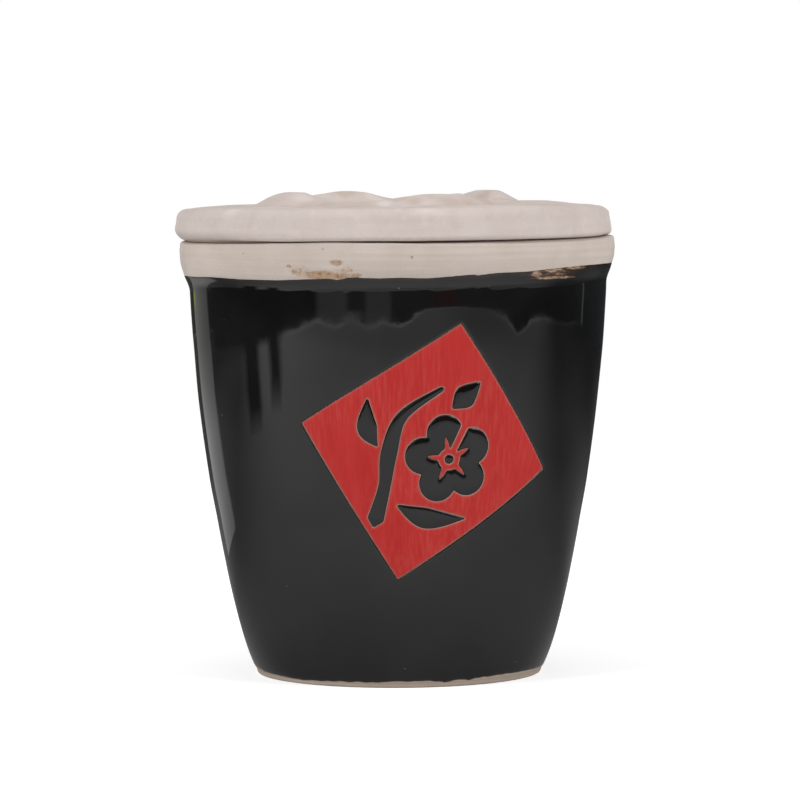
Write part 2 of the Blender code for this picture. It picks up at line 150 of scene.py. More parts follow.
# What else the lower edge does, with its chips, by degrees round from the front
GLAZE_FOOT_TRIM = (
    (-100, 0), (-78, 0.0009), (-58, 0.0006), (-43, 0), (-20, 0.0002), (12, 0.0002), (14.5, -0.0003),
    (16.5, -0.0003), (17.5, -0.0008), (19.5, -0.0006), (21.5, -0.0001), (26.5, -0.0001), (28, -0.0004),
    (31, 0), (45, 0.0004), (60, 0.0004), (80, 0),
)

# Thickness of the coats
COAT_DEPTH = 0.00045  # clay lies this deep under the wall's face where it is coated
COAT_STEP = 0.0005  # the clay steps back under it within this height
COAT_PROUD = 0.00003
# Its edges at the window, the top and the foot: reach and depth of the rounding, and thin glaze
COAT_EDGES = ((0.0007, 0.00030, 0.0008), (0.0016, 0.00022, 0.0016), (0.0010, 0.00032, 0.0012))
COAT_WAVE = 0.00002
COAT_WAVE_SIZE = 0.019
COAT_RIPPLE = 0.000011
COAT_RIPPLE_SIZE = 0.0075
SLIP_DEPTH = 0.00028  # face of the slip under the wall's face
SLIP_SWELL = 0.00003
SLIP_EDGE = 0.0003  # it thins out within this distance of its edge
SLIP_EDGE_DROP = 0.00012
BRUSH_RIDGE = 0.00003
ISLAND_STEP = 0.00030  # how steeply an island's edge stands up from the clay
ISLAND_EDGE_ROUND = 0.0004
ISLAND_DOME = 0.00042
ISLAND_DOME_REACH = 0.0034
ISLAND_SWELL = 0.00004
LINING_THICKNESS = 0.0006
LINING_PROUD = 0.00005
LINING_LINE_START = 0.110  # its upper edge waves from this height up
LINING_LINE_WAVE = 0.0007
LINING_LINE_DROP = 0.0004
ISLAND_LINE = 0.00020  # clay left bare round the islands, and round the slip
WINDOW_LINE = 0.00014

# Window of the red panel, by its corners about the panel's centre
PANEL_SIDE = 0.0665
PANEL_AZIMUTH = math.radians(8.3)
PANEL_HEIGHT = 0.08645
WINDOW_CORNERS = ((0.0115, 0.0444), (0.0482, -0.0084), (-0.0096, -0.0464), (-0.0460, 0.0093))

# Blossom sprig, in hundredths of the panel's side, about the panel's centre, as in the part
BLOSSOM_CENTRE = (12.0, -5.3)
BLOSSOM_TURN = 64.0
BLOSSOM_SLIT = 3.6
PETALS = 5
PETAL_DISTANCE = 14.1
PETAL_RADIUS = 9.9
HEART_RADIUS = 5.9
HEART_RAY = 6.3
HEART_RAY_SPREAD = 13.0
EYE_RADIUS = 2.6
TWIG = ((-27, -37.5, 4.5), (-22.5, -19.5, 3.3), (-20.3, -1.5, 4.4), (-13.5, 18, 3.0), (7.5, 32.3, 1.4))
LEAF_LEFT = ((-27, 2.3, 0.8), (-32.3, 12, 5.4), (-32.3, 27, 0.6))
LEAF_LOW = ((-15, -30, 0.9), (0, -36.8, 5.6), (21, -37.5, 0.6))
BUD = ((14.3, 22.5, 1.5), (20.3, 27.8, 6.3), (27.8, 34.5, 1.5))
SPRIG_UNIT = PANEL_SIDE / 100

# Lid, as in the part
LID_THICKNESS = 0.0118
LID_CROWN = 0.0008
LID_SHIFT = -0.0014
LID_SEAT_WIDTH = 0.0052
LID_RELIEF = 0.0001
LID_REST = 0.00005  # the seat lies this far off the rim
# How far the lid's outer edge stands above its seat, by degrees round from the front
LID_GAP = (
    (-96, 0), (-86, 0.0003), (-74, 0.00072), (-59, 0.001), (-50, 0.001), (-40, 0.00082), (-30, 0.00062),
    (-18, 0.0007), (-8, 0.00065), (8, 0.00041), (20, 0.00035), (32, 0.00023), (62, 0.00006),
    (70, 0.0001), (79, 0.00035), (94, 0),
)
LID_CURL = 0.0020  # how far the lid's lower edge is worn in at -X
LID_CURL_HEIGHT = 0.0046
LID_GAP_RUN = 0.0015
LID_GAP_REACH = 0.0040
CREST_SOFTNESS = 0.0005  # the crest is rounded off this far under the solid lid's top
HEADROOM = 0.0001
KEEPER_DROP = 0.0070
KEEPER_WIDTH = 0.0060
KEEPER_ROUND = 0.0015
KEEPER_ROOT = 0.0006  # height of its corners at the plate, and their widths
KEEPER_ROOT_INSIDE = 0.001
KEEPER_ROOT_OUTSIDE = 0.0008
RELIEF_RUN = 0.0012
MOUTH_PLAY = 0.0022
LID_RADIUS = 0.0802
LID_UNDERSIDE = RIM_HEIGHT + SEAM
LID_SEAT = RIM_HEIGHT + LID_REST
LID_TOP = LID_UNDERSIDE + LID_THICKNESS
SEAT_EDGE = MOUTH_RADIUS + MOUTH_ROUND + LID_SEAT_WIDTH
LID_TOP_ROUND = 0.0042
LID_EDGE_ROUND = 0.0017
LID_SIDE_LEAN = 0.0009  # the side leans in towards the top
LID_SIDE_LOW_HANDLE = 0.0025
LID_SIDE_HIGH_HANDLE = (0.0001, 0.0015)
LID_SIDE_DEPTH = 0.004  # the side is uneven from this far in
LID_SIDE_RUN = 0.003
GRIP_RADIUS = 0.0406
GRIP_WIDTH = 0.0194
GRIP_SHIFT = (-0.0021, -0.0040)
GRIP_PRESSED = 0.0003
CREASE_AT = 1.02  # dust and painted shade lie this far from the ridge's crest, in half widths of it
CREASE_REACH = 0.20
DARKEST_DENT = 0.0045  # dents wider than this get less painted shade
GRIP_ARCHES = ((24, 0.0045, 36), (114, 0.0038, 36), (210, 0.0046, 45), (297, 0.0037, 47))
# What the fingers left standing on the ridge, by place from -X to +X
RIDGE_TRIM = (
    (-0.05, 0.0004), (-0.046, 0.0006), (-0.04, 0.0002), (-0.0315, 0.0011), (-0.0255, 0.0004),
    (-0.017, 0.0004), (-0.0095, 0.0008), (-0.002, 0.0004), (0.01, 0.0003), (0.02, 0.0001),
    (0.024, 0.0007), (0.03, 0.0003), (0.039, 0.0006), (0.045, 0.001), (0.05, 0),
)
# Where the lid's top falls away, at -X and at +X: start, run and drop
SHOULDERS = ((-0.0600, -0.0160, 0.0005), (0.0570, 0.0140, 0.0011), (0.0710, 0.0080, 0.0004))

# Fineness of the meshes
TURNED_COLUMNS = 320
LINING_COLUMNS = 192
CURVE_SAMPLES = 240
INNERMOST_RING = 0.0040
FINE_ROWS_END = 0.0056  # the wall's rows lie closer together below this height
FINE_ROWS_START = 0.1440  # and above this one
COAT_ROWS = 104
COAT_EDGE_ROWS = (0.0002, 0.0005, 0.0009)  # distances of the rows of points beside an edge
SLIP_EDGE_ROWS = (0.0002,)
ISLAND_EDGE_ROWS = (0.00012, 0.0003)
MOUTH_ROWS = 7
TABLE_HALF_COLUMNS = 96
COAT_SPACING = 0.0013
SLIP_SPACING = 0.0006
ISLAND_SPACING = 0.0005
OUTLINE_SPACING = 0.00030
SOFTENED_OVER = 0.0009  # how far round a corner of the sprig is averaged


# Noise and curves


def bumps(points, size, seed):
    """Smooth noise between about -1 and 1 at each point, with bumps of the given size."""
    shift = Vector((seed * 7.31, seed * -3.17, seed * 5.77))
    values = [noise.noise(Vector(point) / size + shift) for point in np.reshape(points, (-1, 3))]
    return np.reshape(values, np.shape(points)[:-1])


def uneven(points, layers):
    """The sum of layers of bumps, each of (depth, size, squeeze in height, seed)."""
    return sum(depth * bumps(points * (1, 1, squeeze), size, seed) for depth, size, squeeze, seed in layers)


def smooth_step(value):
    value = np.clip(value, 0.0, 1.0)
    return value * value * (3 - 2 * value)


def eased(value, table):
    """The table's second column at the value of its first, with a smooth run between its rows."""
    stations, levels = np.transpose(table)
    value = np.clip(value, stations[0], stations[-1])
    index = np.clip(np.searchsorted(stations, value, side="right") - 1, 0, len(stations) - 2)
    share = smooth_step((value - stations[index]) / (stations[index + 1] - stations[index]))
    return levels[index] + (levels[index + 1] - levels[index]) * share


def curve_points(start, start_handle, end_handle, end, count):
    """Points of a cubic curve, as rows of (radius, height)."""
    t = np.linspace(0, 1, count)[:, None]
    first, second, third, last = (np.array(corner) for corner in (start, start_handle, end_handle, end))
    return (1 - t) ** 3 * first + 3 * (1 - t) ** 2 * t * second + 3 * (1 - t) * t**2 * third + t**3 * last


def arc_points(centre, radius, first_degrees, last_degrees, count):
    angles = np.radians(np.linspace(first_degrees, last_degrees, count))
    return np.column_stack((centre[0] + radius * np.cos(angles), centre[1] + radius * np.sin(angles)))


def level_points(height, first_radius, last_radius, count):
    return np.column_stack((np.linspace(first_radius, last_radius, count), np.full(count, height)))


def wall_profile():
    """Foot to rim, as seen from outside."""
    wall = curve_points(
        (FOOT_RADIUS, FOOT_ROUND),
        (FOOT_RADIUS + FOOT_FLARE * FOOT_CURVE, FOOT_ROUND + FOOT_CURVE),
        (NECK_RADIUS - NECK_FLARE * NECK_CURVE, NECK_HEIGHT - NECK_CURVE),
        (NECK_RADIUS, NECK_HEIGHT),
        CURVE_SAMPLES,
    )
    band_top = RIM_HEIGHT - RIM_ROUND
    band = curve_points(
        (NECK_RADIUS, NECK_HEIGHT),
        (NECK_RADIUS + NECK_FLARE * BAND_LOW_HANDLE, NECK_HEIGHT + BAND_LOW_HANDLE),
        (RIM_RADIUS, band_top - BAND_HIGH_HANDLE),
        (RIM_RADIUS, band_top),
        CURVE_SAMPLES // 3,
    )
    profile = np.vstack((wall, band[1:]))
    profile[:, 0] += eased(profile[:, 1], WALL_TRIM)
    return profile


WALL = wall_profile()


def wall_radius(height):
    return np.interp(height, WALL[:, 1], WALL[:, 0])


def at_angle(angle, radius, height):
    """Places round the jar. The angle is measured from the front towards +X."""
    return np.stack((radius * np.sin(angle), -radius * np.cos(angle), height + 0 * angle), axis=-1)


def climb_at(points, height):
    """How far the slant lifts or lowers a place on the pot. It fades out down the wall."""
    x, y = points[..., 0], points[..., 1]
    rim = smooth_step((height - SLANT_START) / SLANT_RUN) * RIM_SLANT * (x - SLANT_LINE)
    side = smooth_step((height - NECK_SLANT_START) / NECK_SLANT_RUN) * NECK_SLANT * x
    front = smooth_step((height - NECK_RISE_START) / NECK_RISE_RUN) * NECK_RISE
    share = smooth_step((np.abs(y) - NECK_SIDE) / NECK_SIDE_RUN)
    return rim + smooth_step((NECK_TOP - height) / NECK_RUN) * (side + (front - side) * share)


def leaning(points):
    """The points of the pot as it came off the wheel, a little askew."""
    points = np.array(points)
    points[..., 2] += climb_at(points, points[..., 2])
    points[..., 0] += eased(points[..., 2], WALL_LEAN)
    return points


def round_the_rim(angle, table):
    """The table's value at each angle, by degrees from the front."""
    return eased((np.degrees(angle) + 180) % 360 - 180, table)


def glaze_edge(angle):
    """Height of the coat's upper edge round the jar, on the pot before it leans."""
    height = np.interp(np.degrees(angle), *np.transpose(GLAZE_EDGE), period=360)
    around = at_angle(angle, RIM_RADIUS, 0)
    fine = bumps(around, 0.004, 3) * bumps(around, 0.02, 5)
    before = height
    for _ in range(5):
        before = height - climb_at(around, before)
    return before + GLAZE_EDGE_RAGGED * fine


def glaze_foot(angle):
    """Height of the coat's lower edge round the jar, with its ragged drips."""
    around = at_angle(angle, FOOT_RADIUS, 0)
    sway = bumps(around, 0.045, 11)
    ragged = bumps(around, 0.0032, 13) * smooth_step(0.5 + bumps(around, 0.022, 17))
    level = GLAZE_FOOT + GLAZE_FOOT_SLANT * around[..., 0] * smooth_step(0.5 - around[..., 1] / FOOT_RADIUS)
    level = level + round_the_rim(angle, GLAZE_FOOT_TRIM)
    return level + GLAZE_FOOT_SWAY * sway + GLAZE_FOOT_RAGGED * ragged


# Meshes


def make_piece(name, points, faces, surface, attributes=None):
    data = bpy.data.meshes.new(name)
    data.from_pydata([tuple(point) for point in points], [], [tuple(face) for face in faces])
    data.shade_smooth()
    data.materials.append(surface)
    for attribute, values in (attributes or {}).items():
        layer = data.attributes.new(attribute, "FLOAT", "POINT")
        layer.data.foreach_set("value", np.asarray(values, dtype=np.float32))
    piece = bpy.data.objects.new(name, data)
    bpy.context.scene.collection.objects.link(piece)
    return piece


def finish_piece(piece, body, slot, *nodes):
    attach(piece, body)
    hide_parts(*nodes)


def ring_faces(rings, columns):
    """Quads between rings of points, with the outside on the right hand of a climbing profile."""
    index = np.arange(rings * columns).reshape(rings, columns)
    lower, upper = index[:-1], index[1:]
    quads = np.stack((lower, np.roll(lower, -1, axis=1), np.roll(upper, -1, axis=1), upper), axis=-1)
    return quads.reshape(-1, 4)


def cap_faces(ring, centre, outwards):
    """A fan of triangles from a ring of points to its centre."""
    following = np.roll(ring, -1)
    order = (ring, following) if outwards else (following, ring)
    return [(first, second, centre) for first, second in zip(*order)]


def turned_piece(name, rings, surface, attributes=None):
    """A closed piece from rings that run from its base's centre round to its top's."""
    count, columns, _ = rings.shape
    poles = count * columns
    faces = [*ring_faces(count, columns), *cap_faces(np.arange(columns), poles, False)]
    faces += cap_faces(np.arange(poles - columns, poles), poles + 1, True)
    points = np.vstack((rings.reshape(-1, 3), rings[0].mean(axis=0), rings[-1].mean(axis=0)))
    return make_piece(name, points, faces, surface, attributes)


def sheet_piece(name, faces, front, back, surface, attributes):
    """A closed piece from one set of faces with its front and back points, which look the same."""
    count = len(front)
    sides = {(face[i], face[(i + 1) % len(face)]) for face in faces for i in range(len(face))}
    border = [(start, end) for start, end in sides if (end, start) not in sides]
    closed = [tuple(face) for face in faces]
    closed += [tuple(point + count for point in reversed(face)) for face in faces]
    closed += [(end, start, start + count, end + count) for start, end in sorted(border)]
    doubled = {attribute: np.tile(values, 2) for attribute, values in attributes.items()}
    return make_piece(name, np.vstack((front, back)), closed, surface, doubled)


# Flat outlines and their filling


def evenly(loop, spacing):
    """The closed outline with points added so that none are further apart than the spacing."""
    loop = np.asarray(loop, dtype=float)
    points = []
    for start, end in zip(loop, np.roll(loop, -1, axis=0)):
        pieces = max(1, math.ceil(np.linalg.norm(end - start) / spacing))
        points += [start + (end - start) * piece / pieces for piece in range(pieces)]
    return np.array(points)


def is_inside(points, loops):
    """True for each point that lies inside an odd number of the outlines."""
    inside = np.zeros(len(points), dtype=bool)
    x, y = points[:, 0], points[:, 1]
    for loop in loops:
        for (ax, ay), (bx, by) in zip(loop, np.roll(loop, -1, axis=0)):
            if ay == by:
                continue
            crosses = (ay > y) != (by > y)
            inside ^= crosses & (x < ax + (bx - ax) * (y - ay) / (by - ay))
    return inside


def search_tree(places):
    tree = kdtree.KDTree(len(places))
    for index, (x, y) in enumerate(places):
        tree.insert((x, y, 0), index)
    tree.balance()
    return tree


def distance_to(loops, points):
    """How far each point lies from the nearest outline."""
    tree = search_tree(np.vstack([evenly(loop, OUTLINE_SPACING / 4) for loop in loops]))
    return np.array([tree.find((x, y, 0))[2] for x, y in points])


def filled(loops, spacing, insets=(), fixed=()):
    """Points and triangles that fill the first outline, without the others inside it.

    The insets are rows of points at those distances from the outlines, which let an edge be
    rounded. The fixed loops aren't given any.
    """
    bounded = [*loops, *fixed]
    candidates = []
    for loop in loops:
        ahead = np.roll(loop, -1, axis=0) - np.roll(loop, 1, axis=0)
        normal = np.column_stack((-ahead[:, 1], ahead[:, 0]))
        normal /= np.maximum(np.linalg.norm(normal, axis=1), 1e-12)[:, None]
        for inset in insets:
            for side in (-1, 1):
                row = loop + side * inset * normal
                keep = distance_to([loop], row) > 0.93 * inset
                candidates.append(row[keep])
    everything = np.vstack(bounded)
    low, high = everything.min(axis=0), everything.max(axis=0)
    columns = np.arange(low[0], high[0], spacing)
    rows = np.arange(low[1], high[1], spacing * math.sqrt(0.75))
    grid = np.array([(x + spacing * (row % 2) / 2, y) for row, y in enumerate(rows) for x in columns])
    margin = max(insets, default=0) + spacing * 0.55
    candidates.append(grid[distance_to(bounded, grid) > margin])
    if insets:
        rows_only = np.vstack(candidates[:-1])
        candidates = [rows_only[distance_to(bounded, rows_only) > 0.9 * min(insets)], candidates[-1]]
    inner = np.vstack(candidates)
    inner = inner[is_inside(inner, bounded)]
    points, sides = [], []
    for loop in bounded:
        start = len(points)
        points += [Vector(point) for point in loop]
        sides += [(start + i, start + (i + 1) % len(loop)) for i in range(len(loop))]
    points += [Vector(point) for point in inner]
    found = geometry.delaunay_2d_cdt(points, sides, [], 0, 1e-9)
    flat = np.array([tuple(point) for point in found[0]])
    triangles = np.array(found[2])
    centres = flat[triangles].mean(axis=1)
    triangles = triangles[is_inside(centres, bounded)]
    used, renumbered = np.unique(triangles, return_inverse=True)
    return flat[used], renumbered.reshape(-1, 3)


def on_panel(flat):
    """The angle and height on the wall of places along and up from the panel's centre."""
    height = PANEL_HEIGHT + flat[:, 1]
    return PANEL_AZIMUTH + flat[:, 0] / wall_radius(height), height


def wrapped(flat, lift):
    """Places along and up from the panel's centre, laid on the wall and lifted off its face."""
    angle, height = on_panel(flat)
    return leaning(at_angle(angle, wall_radius(height) + lift, height))


def flat_bumps(flat, size, seed, stretch=(1, 1)):
    """Smooth noise at places along and up from the panel's centre."""
    return bumps(np.column_stack((flat * stretch, 0 * flat[:, 0])), size, seed)


# The sprig's outlines, in its own units


def smooth_path(stations, samples):
    """A Catmull-Rom curve through the stations."""
    ends = [stations[0], *stations, stations[-1]]
    path = []
    for step in range(samples):
        place = step / (samples - 1) * (len(stations) - 1)
        index = min(int(place), len(stations) - 2)
        t = place - index
        weights = (
            (-t + 2 * t**2 - t**3) / 2,
            (2 - 5 * t**2 + 3 * t**3) / 2,
            (t + 4 * t**2 - 3 * t**3) / 2,
            (t**3 - t**2) / 2,
        )
        near = zip(*ends[index : index + 4])
        path.append(tuple(sum(w * value for w, value in zip(weights, values)) for values in near))
    return path


def brush_stroke(stations, grow, samples):
    """The outline of a stroke with pointed ends, grown outwards all round."""
    path = smooth_path(stations, samples)
    left, right = [], []
    for index, (along, up, half) in enumerate(path):
        before, after = path[max(index - 1, 0)], path[min(index + 1, samples - 1)]
        run, rise = after[0] - before[0], after[1] - before[1]
        length = math.hypot(run, rise)
        reach = half + grow
        left.append((along - reach * rise / length, up + reach * run / length))
        right.append((along + reach * rise / length, up - reach * run / length))
    tips = []
    for end, inner in ((path[0], path[1]), (path[-1], path[-2])):
        length = math.hypot(end[0] - inner[0], end[1] - inner[1])
        reach = end[2] + grow
        tips.append(tuple(a + reach * (a - b) / length for a, b in zip(end[:2], inner[:2])))
    return [tips[0], *left, tips[1], *reversed(right)]


def petal_reach(off_degrees, grow):
    off = math.radians(off_degrees)
    side = PETAL_DISTANCE * math.sin(off)
    return PETAL_DISTANCE * math.cos(off) + math.sqrt((PETAL_RADIUS + grow) ** 2 - side**2)


def heart_reach(off_degrees, grow):
    ray = max(0.0, 1 - abs(off_degrees) / HEART_RAY_SPREAD)
    return HEART_RADIUS + HEART_RAY * ray - grow


def blossom(grow):
    """Round petals about a star-shaped heart, with a slit that lets the red in between two."""
    petal_turn = 360 / PETALS
    notch = petal_turn / 2
    outline = []
    for reach_at, step, order in ((petal_reach, 2, 1), (heart_reach, 3, -1)):
        slit = math.degrees(math.asin((BLOSSOM_SLIT / 2 - grow) / reach_at(notch, grow)))
        around = [angle for angle in range(step, 360, step) if slit < angle < 360 - slit]
        for angle in [slit, *around, 360 - slit][::order]:
            reach = reach_at(angle % petal_turn - notch, grow)
            turn = math.radians(BLOSSOM_TURN + angle)
            along = BLOSSOM_CENTRE[0] + reach * math.cos(turn)
            outline.append((along, BLOSSOM_CENTRE[1] + reach * math.sin(turn)))
    return outline


def softened(loop):
    """The outline with its corners rounded off, as glaze draws them in."""
    loop = evenly(loop, SOFTENED_OVER / 5)
    for _ in range(3):
        around = [np.roll(loop, shift, axis=0) for shift in range(-2, 3)]
        loop = np.mean(around, axis=0)
    return loop


def sprig(bare):
    """Each island's outline in metres by its node's name, grown by the clay left bare round it."""
    grow = bare / SPRIG_UNIT
    outlines = {
        "motif_blossom": blossom(grow),
        "motif_blossom_eye": arc_points(BLOSSOM_CENTRE, EYE_RADIUS + grow, 0, 350, 36),
        "motif_twig": brush_stroke(TWIG, grow, 61),
        "motif_leaf_left": brush_stroke(LEAF_LEFT, grow, 41),
        "motif_leaf_low": brush_stroke(LEAF_LOW, grow, 41),
        "motif_bud": brush_stroke(BUD, grow, 31),
    }
    return {name: softened(np.array(outline) * SPRIG_UNIT) for name, outline in outlines.items()}


# Materials


def add_node(tree, kind, links=None, **settings):
    """A node with its settings, and its inputs set to values or linked from outputs."""
    node = tree.nodes.new(kind)
    for setting, value in settings.items():
        setattr(node, setting, value)
    for socket, value in (links or {}).items():
        if isinstance(value, bpy.types.NodeSocket):
            tree.links.new(value, node.inputs[socket])
        else:
            node.inputs[socket].default_value = value
    return node


def math_node(tree, operation, *values):
    return add_node(tree, "ShaderNodeMath", dict(enumerate(values)), operation=operation).outputs[0]


def times(tree, first, second):
    return math_node(tree, "MULTIPLY", first, second)


def vector_node(tree, operation, *values):
    node = add_node(tree, "ShaderNodeVectorMath", dict(enumerate(values)), operation=operation)
    return node.outputs["Value" if operation == "LENGTH" else "Vector"]


def ranged(tree, value, low, high, to_low=0.0, to_high=1.0):
    """The value moved smoothly from one range to another, and held at its ends."""
    links = {"Value": value, "From Min": low, "From Max": high, "To Min": to_low, "To Max": to_high}
    node = add_node(tree, "ShaderNodeMapRange", links, interpolation_type="SMOOTHSTEP")
    return node.outputs["Result"]


def blend_colour(tree, factor, *colours):
    """A mix of two colours, each either an output or a plain colour."""
    first, second = (c if isinstance(c, bpy.types.NodeSocket) else (*c, 1.0) for c in colours)
    return add_node(tree, "ShaderNodeMix", {0: factor, 6: first, 7: second}, data_type="RGBA").outputs[2]


def layered(tree, colour, *layers):
    """The colour with layers laid over it in turn, each of (mask, share, colour)."""
    for mask, share, tint in layers:
        colour = blend_colour(tree, times(tree, mask, share), colour, tint)
    return colour


def new_group(name, inputs, *outputs):
    """An empty group of nodes, with what it is given and what it puts out, by their names."""
    tree = bpy.data.node_groups.new(name, "ShaderNodeTree")
    for label, default in inputs.items():
        kind = "NodeSocketVector" if isinstance(default, tuple) else "NodeSocketFloat"
        socket = tree.interface.new_socket(label, in_out="INPUT", socket_type=kind)
        socket.default_value = default
    for label in outputs:
        tree.interface.new_socket(label, in_out="OUTPUT", socket_type="NodeSocketFloat")
    return tree, tree.nodes.new("NodeGroupInput").outputs, tree.nodes.new("NodeGroupOutput").inputs


def put_out(tree, put, **values):
    for label, value in values.items():
        tree.links.new(value, put[label])


def use_group(tree, group, **values):
    """The group placed in a material with its own values, whose names have _ for a space."""
    node = tree.nodes.new("ShaderNodeGroup")
    node.node_tree = group
    for label, value in values.items():
        node.inputs[label.replace("_", " ").capitalize()].default_value = value
    return node.outputs


def noise_at(tree, vector, scale, detail=2.0, roughness=0.5):
    links = {"Vector": vector, "Scale": scale, "Detail": detail, "Roughness": roughness}
    return add_node(tree, "ShaderNodeTexNoise", links).outputs["Fac"]


def object_place(tree):
    return add_node(tree, "ShaderNodeTexCoord").outputs["Object"]


def axes_of(tree, place):
    return add_node(tree, "ShaderNodeSeparateXYZ", {0: place}).outputs


def scaled_place(tree, place, scale):
    return add_node(tree, "ShaderNodeMapping", {"Vector": place, "Scale": scale}).outputs["Vector"]


def stretched_noise(tree, scale, detail, roughness):
    """Noise with its own closeness along each axis."""
    return noise_at(tree, scaled_place(tree, object_place(tree), scale), 1.0, detail, roughness)


LINES_WANDER = 14.0  # how closely the turned lines come and go round the axis


def turning_marks_group():
    """Fine lines round the axis, up the sides and across the flats, that the potter's fingers leave."""
    tree, given, put = new_group("turning_marks", {"Closeness": 900.0}, "Height", "Tone")
    place = object_place(tree)
    flat = scaled_place(tree, place, (LINES_WANDER, LINES_WANDER, 0.0))
    from_axis = vector_node(tree, "LENGTH", flat)
    along = math_node(tree, "MULTIPLY_ADD", from_axis, 1 / LINES_WANDER, axes_of(tree, place)["Z"])
    lengthwise = times(tree, along, given["Closeness"])
    rise = add_node(tree, "ShaderNodeCombineXYZ", {"Z": lengthwise}).outputs[0]
    lines = noise_at(tree, vector_node(tree, "ADD", flat, rise), 1.0, 3.0, 0.6)
    put_out(tree, put, Height=lines, Tone=ranged(tree, lines, 0.3, 0.7))
    return tree


def clay_grain_group():
    """Grit and clouding of fired clay."""
    tree, _, put = new_group("clay_grain", {}, "Height", "Cloud", "Grit")
    place = object_place(tree)
    fine = noise_at(tree, place, 2600.0, 3.0, 0.6)
    height = math_node(tree, "MULTIPLY_ADD", noise_at(tree, place, 620.0), 0.6, fine)
    cloud = ranged(tree, noise_at(tree, place, 55.0, 4.0, 0.6), 0.3, 0.7)
    grit = ranged(tree, noise_at(tree, place, 1500.0, 1.0), 0.66, 0.76)
    put_out(tree, put, Height=height, Cloud=cloud, Grit=grit)
    return tree


def ragged_patch_group():
    """A mask round a centre, with a blotchy, broken edge."""
    inputs = {
        "Centre": (0.0, 0.0, 0.0),
        "Reach": (0.01, 0.01, 0.01),
        "Closeness": (500.0, 500.0, 500.0),
        "Fill": 0.5,
        "Broken": 1.0,
    }
    tree, given, put = new_group("ragged_patch", inputs, "Mask")
    place = object_place(tree)
    away = vector_node(tree, "SUBTRACT", place, given["Centre"])
    distance = vector_node(tree, "LENGTH", vector_node(tree, "DIVIDE", away, given["Reach"]))
    near = ranged(tree, distance, 1.0, 0.0)
    stretched = vector_node(tree, "MULTIPLY", place, given["Closeness"])
    blotches = math_node(tree, "SUBTRACT", noise_at(tree, stretched, 1.0, 5.0, 0.7), 0.5)
    blotches = math_node(tree, "MULTIPLY_ADD", blotches, given["Broken"], 0.5)
    level = math_node(tree, "MULTIPLY_ADD", near, given["Fill"], blotches)
    mask = times(tree, ranged(tree, level, 0.62, 1.02), ranged(tree, near, 0.0, 0.25))
    put_out(tree, put, Mask=mask)
    return tree


def pinholes_group():
    """Sparse round pinholes. Each cell of the texture either has one or stays whole."""
    tree, given, put = new_group("pinholes", {"Closeness": 110.0, "Share": 0.3, "Size": 0.05}, "Mask")
    links = {"Vector": object_place(tree), "Scale": given["Closeness"]}
    cells = add_node(tree, "ShaderNodeTexVoronoi", links).outputs
    draw = add_node(tree, "ShaderNodeSeparateColor", {0: cells["Color"]}).outputs
    has_one = math_node(tree, "LESS_THAN", draw[0], given["Share"])
    size = times(tree, math_node(tree, "MULTIPLY_ADD", draw[1], 0.7, 0.5), given["Size"])
    dot = ranged(tree, cells["Distance"], size, times(tree, size, 0.45))
    put_out(tree, put, Mask=times(tree, dot, has_one))
    return tree


TURNING_MARKS = turning_marks_group()
CLAY_GRAIN = clay_grain_group()
RAGGED_PATCH = ragged_patch_group()
PINHOLES = pinholes_group()


def new_material(name):
    """A material with its tree and its Principled shader."""
    made = bpy.data.materials.new(name)
    made.use_nodes = True
    return made, made.node_tree, made.node_tree.nodes["Principled BSDF"]


def set_shader(shader, **values):
    for label, value in values.items():
        shader.inputs[label.replace("_", " ")].default_value = value


def attribute_value(tree, name):
    return add_node(tree, "ShaderNodeAttribute", attribute_name=name).outputs["Fac"]


def finish_surface(tree, shader, colour, roughness, layers, **values):
    """Puts the colour, the roughness and bumps of (height, depth in metres) into the shader."""
    tree.links.new(colour, shader.inputs["Base Color"])
    tree.links.new(roughness, shader.inputs["Roughness"])
    set_shader(shader, **values)
    normal = None
    for height, depth in layers:
        bump = add_node(tree, "ShaderNodeBump", {"Height": height, "Distance": depth, "Strength": 1.0})
        if normal:
            tree.links.new(normal, bump.inputs["Normal"])
        normal = bump.outputs["Normal"]
    tree.links.new(normal, shader.inputs["Normal"])


# Iron stains on the rim band: degrees from the front, height, reach, closeness of blotches, fill
# and how broken they are
RIM_STAINS = (
    (-20, 0.148, (0.0125, 0.014, 0.0034), 420, 0.56, 0.5),
    (-14.5, 0.1477, (0.009, 0.01, 0.0026), 520, 0.48, 0.6),
    (-10.6, 0.1478, (0.0054, 0.007, 0.002), 800, 0.48, 0.9),
    (-15.2, 0.1523, (0.005, 0.006, 0.002), 800, 0.5, 0.8),
    (-13.2, 0.1498, (0.007, 0.007, 0.0026), 1100, 0.36, 1),
    (-28.6, 0.1511, (0.0022, 0.0028, 0.0013), 1500, 0.46, 0.9),
    (-26.9, 0.1491, (0.0028, 0.0032, 0.0019), 1300, 0.5, 0.9),
    (-25.6, 0.1496, (0.0076, 0.0076, 0.0046), 1200, 0.32, 1),
    (-18.9, 0.1572, (0.0014, 0.0016, 0.0009), 1600, 0.36, 1),
    (3.9, 0.1542, (0.0009, 0.001, 0.0009), 900, 0.75, 0.7),
    (-42.8, 0.1553, (0.0014, 0.0014, 0.001), 1600, 0.28, 1),
    (128, 0.15, (0.01, 0.012, 0.0026), 900, 0.42, 0.8),
    (205, 0.149, (0.013, 0.01, 0.0028), 1000, 0.4, 0.8),
)
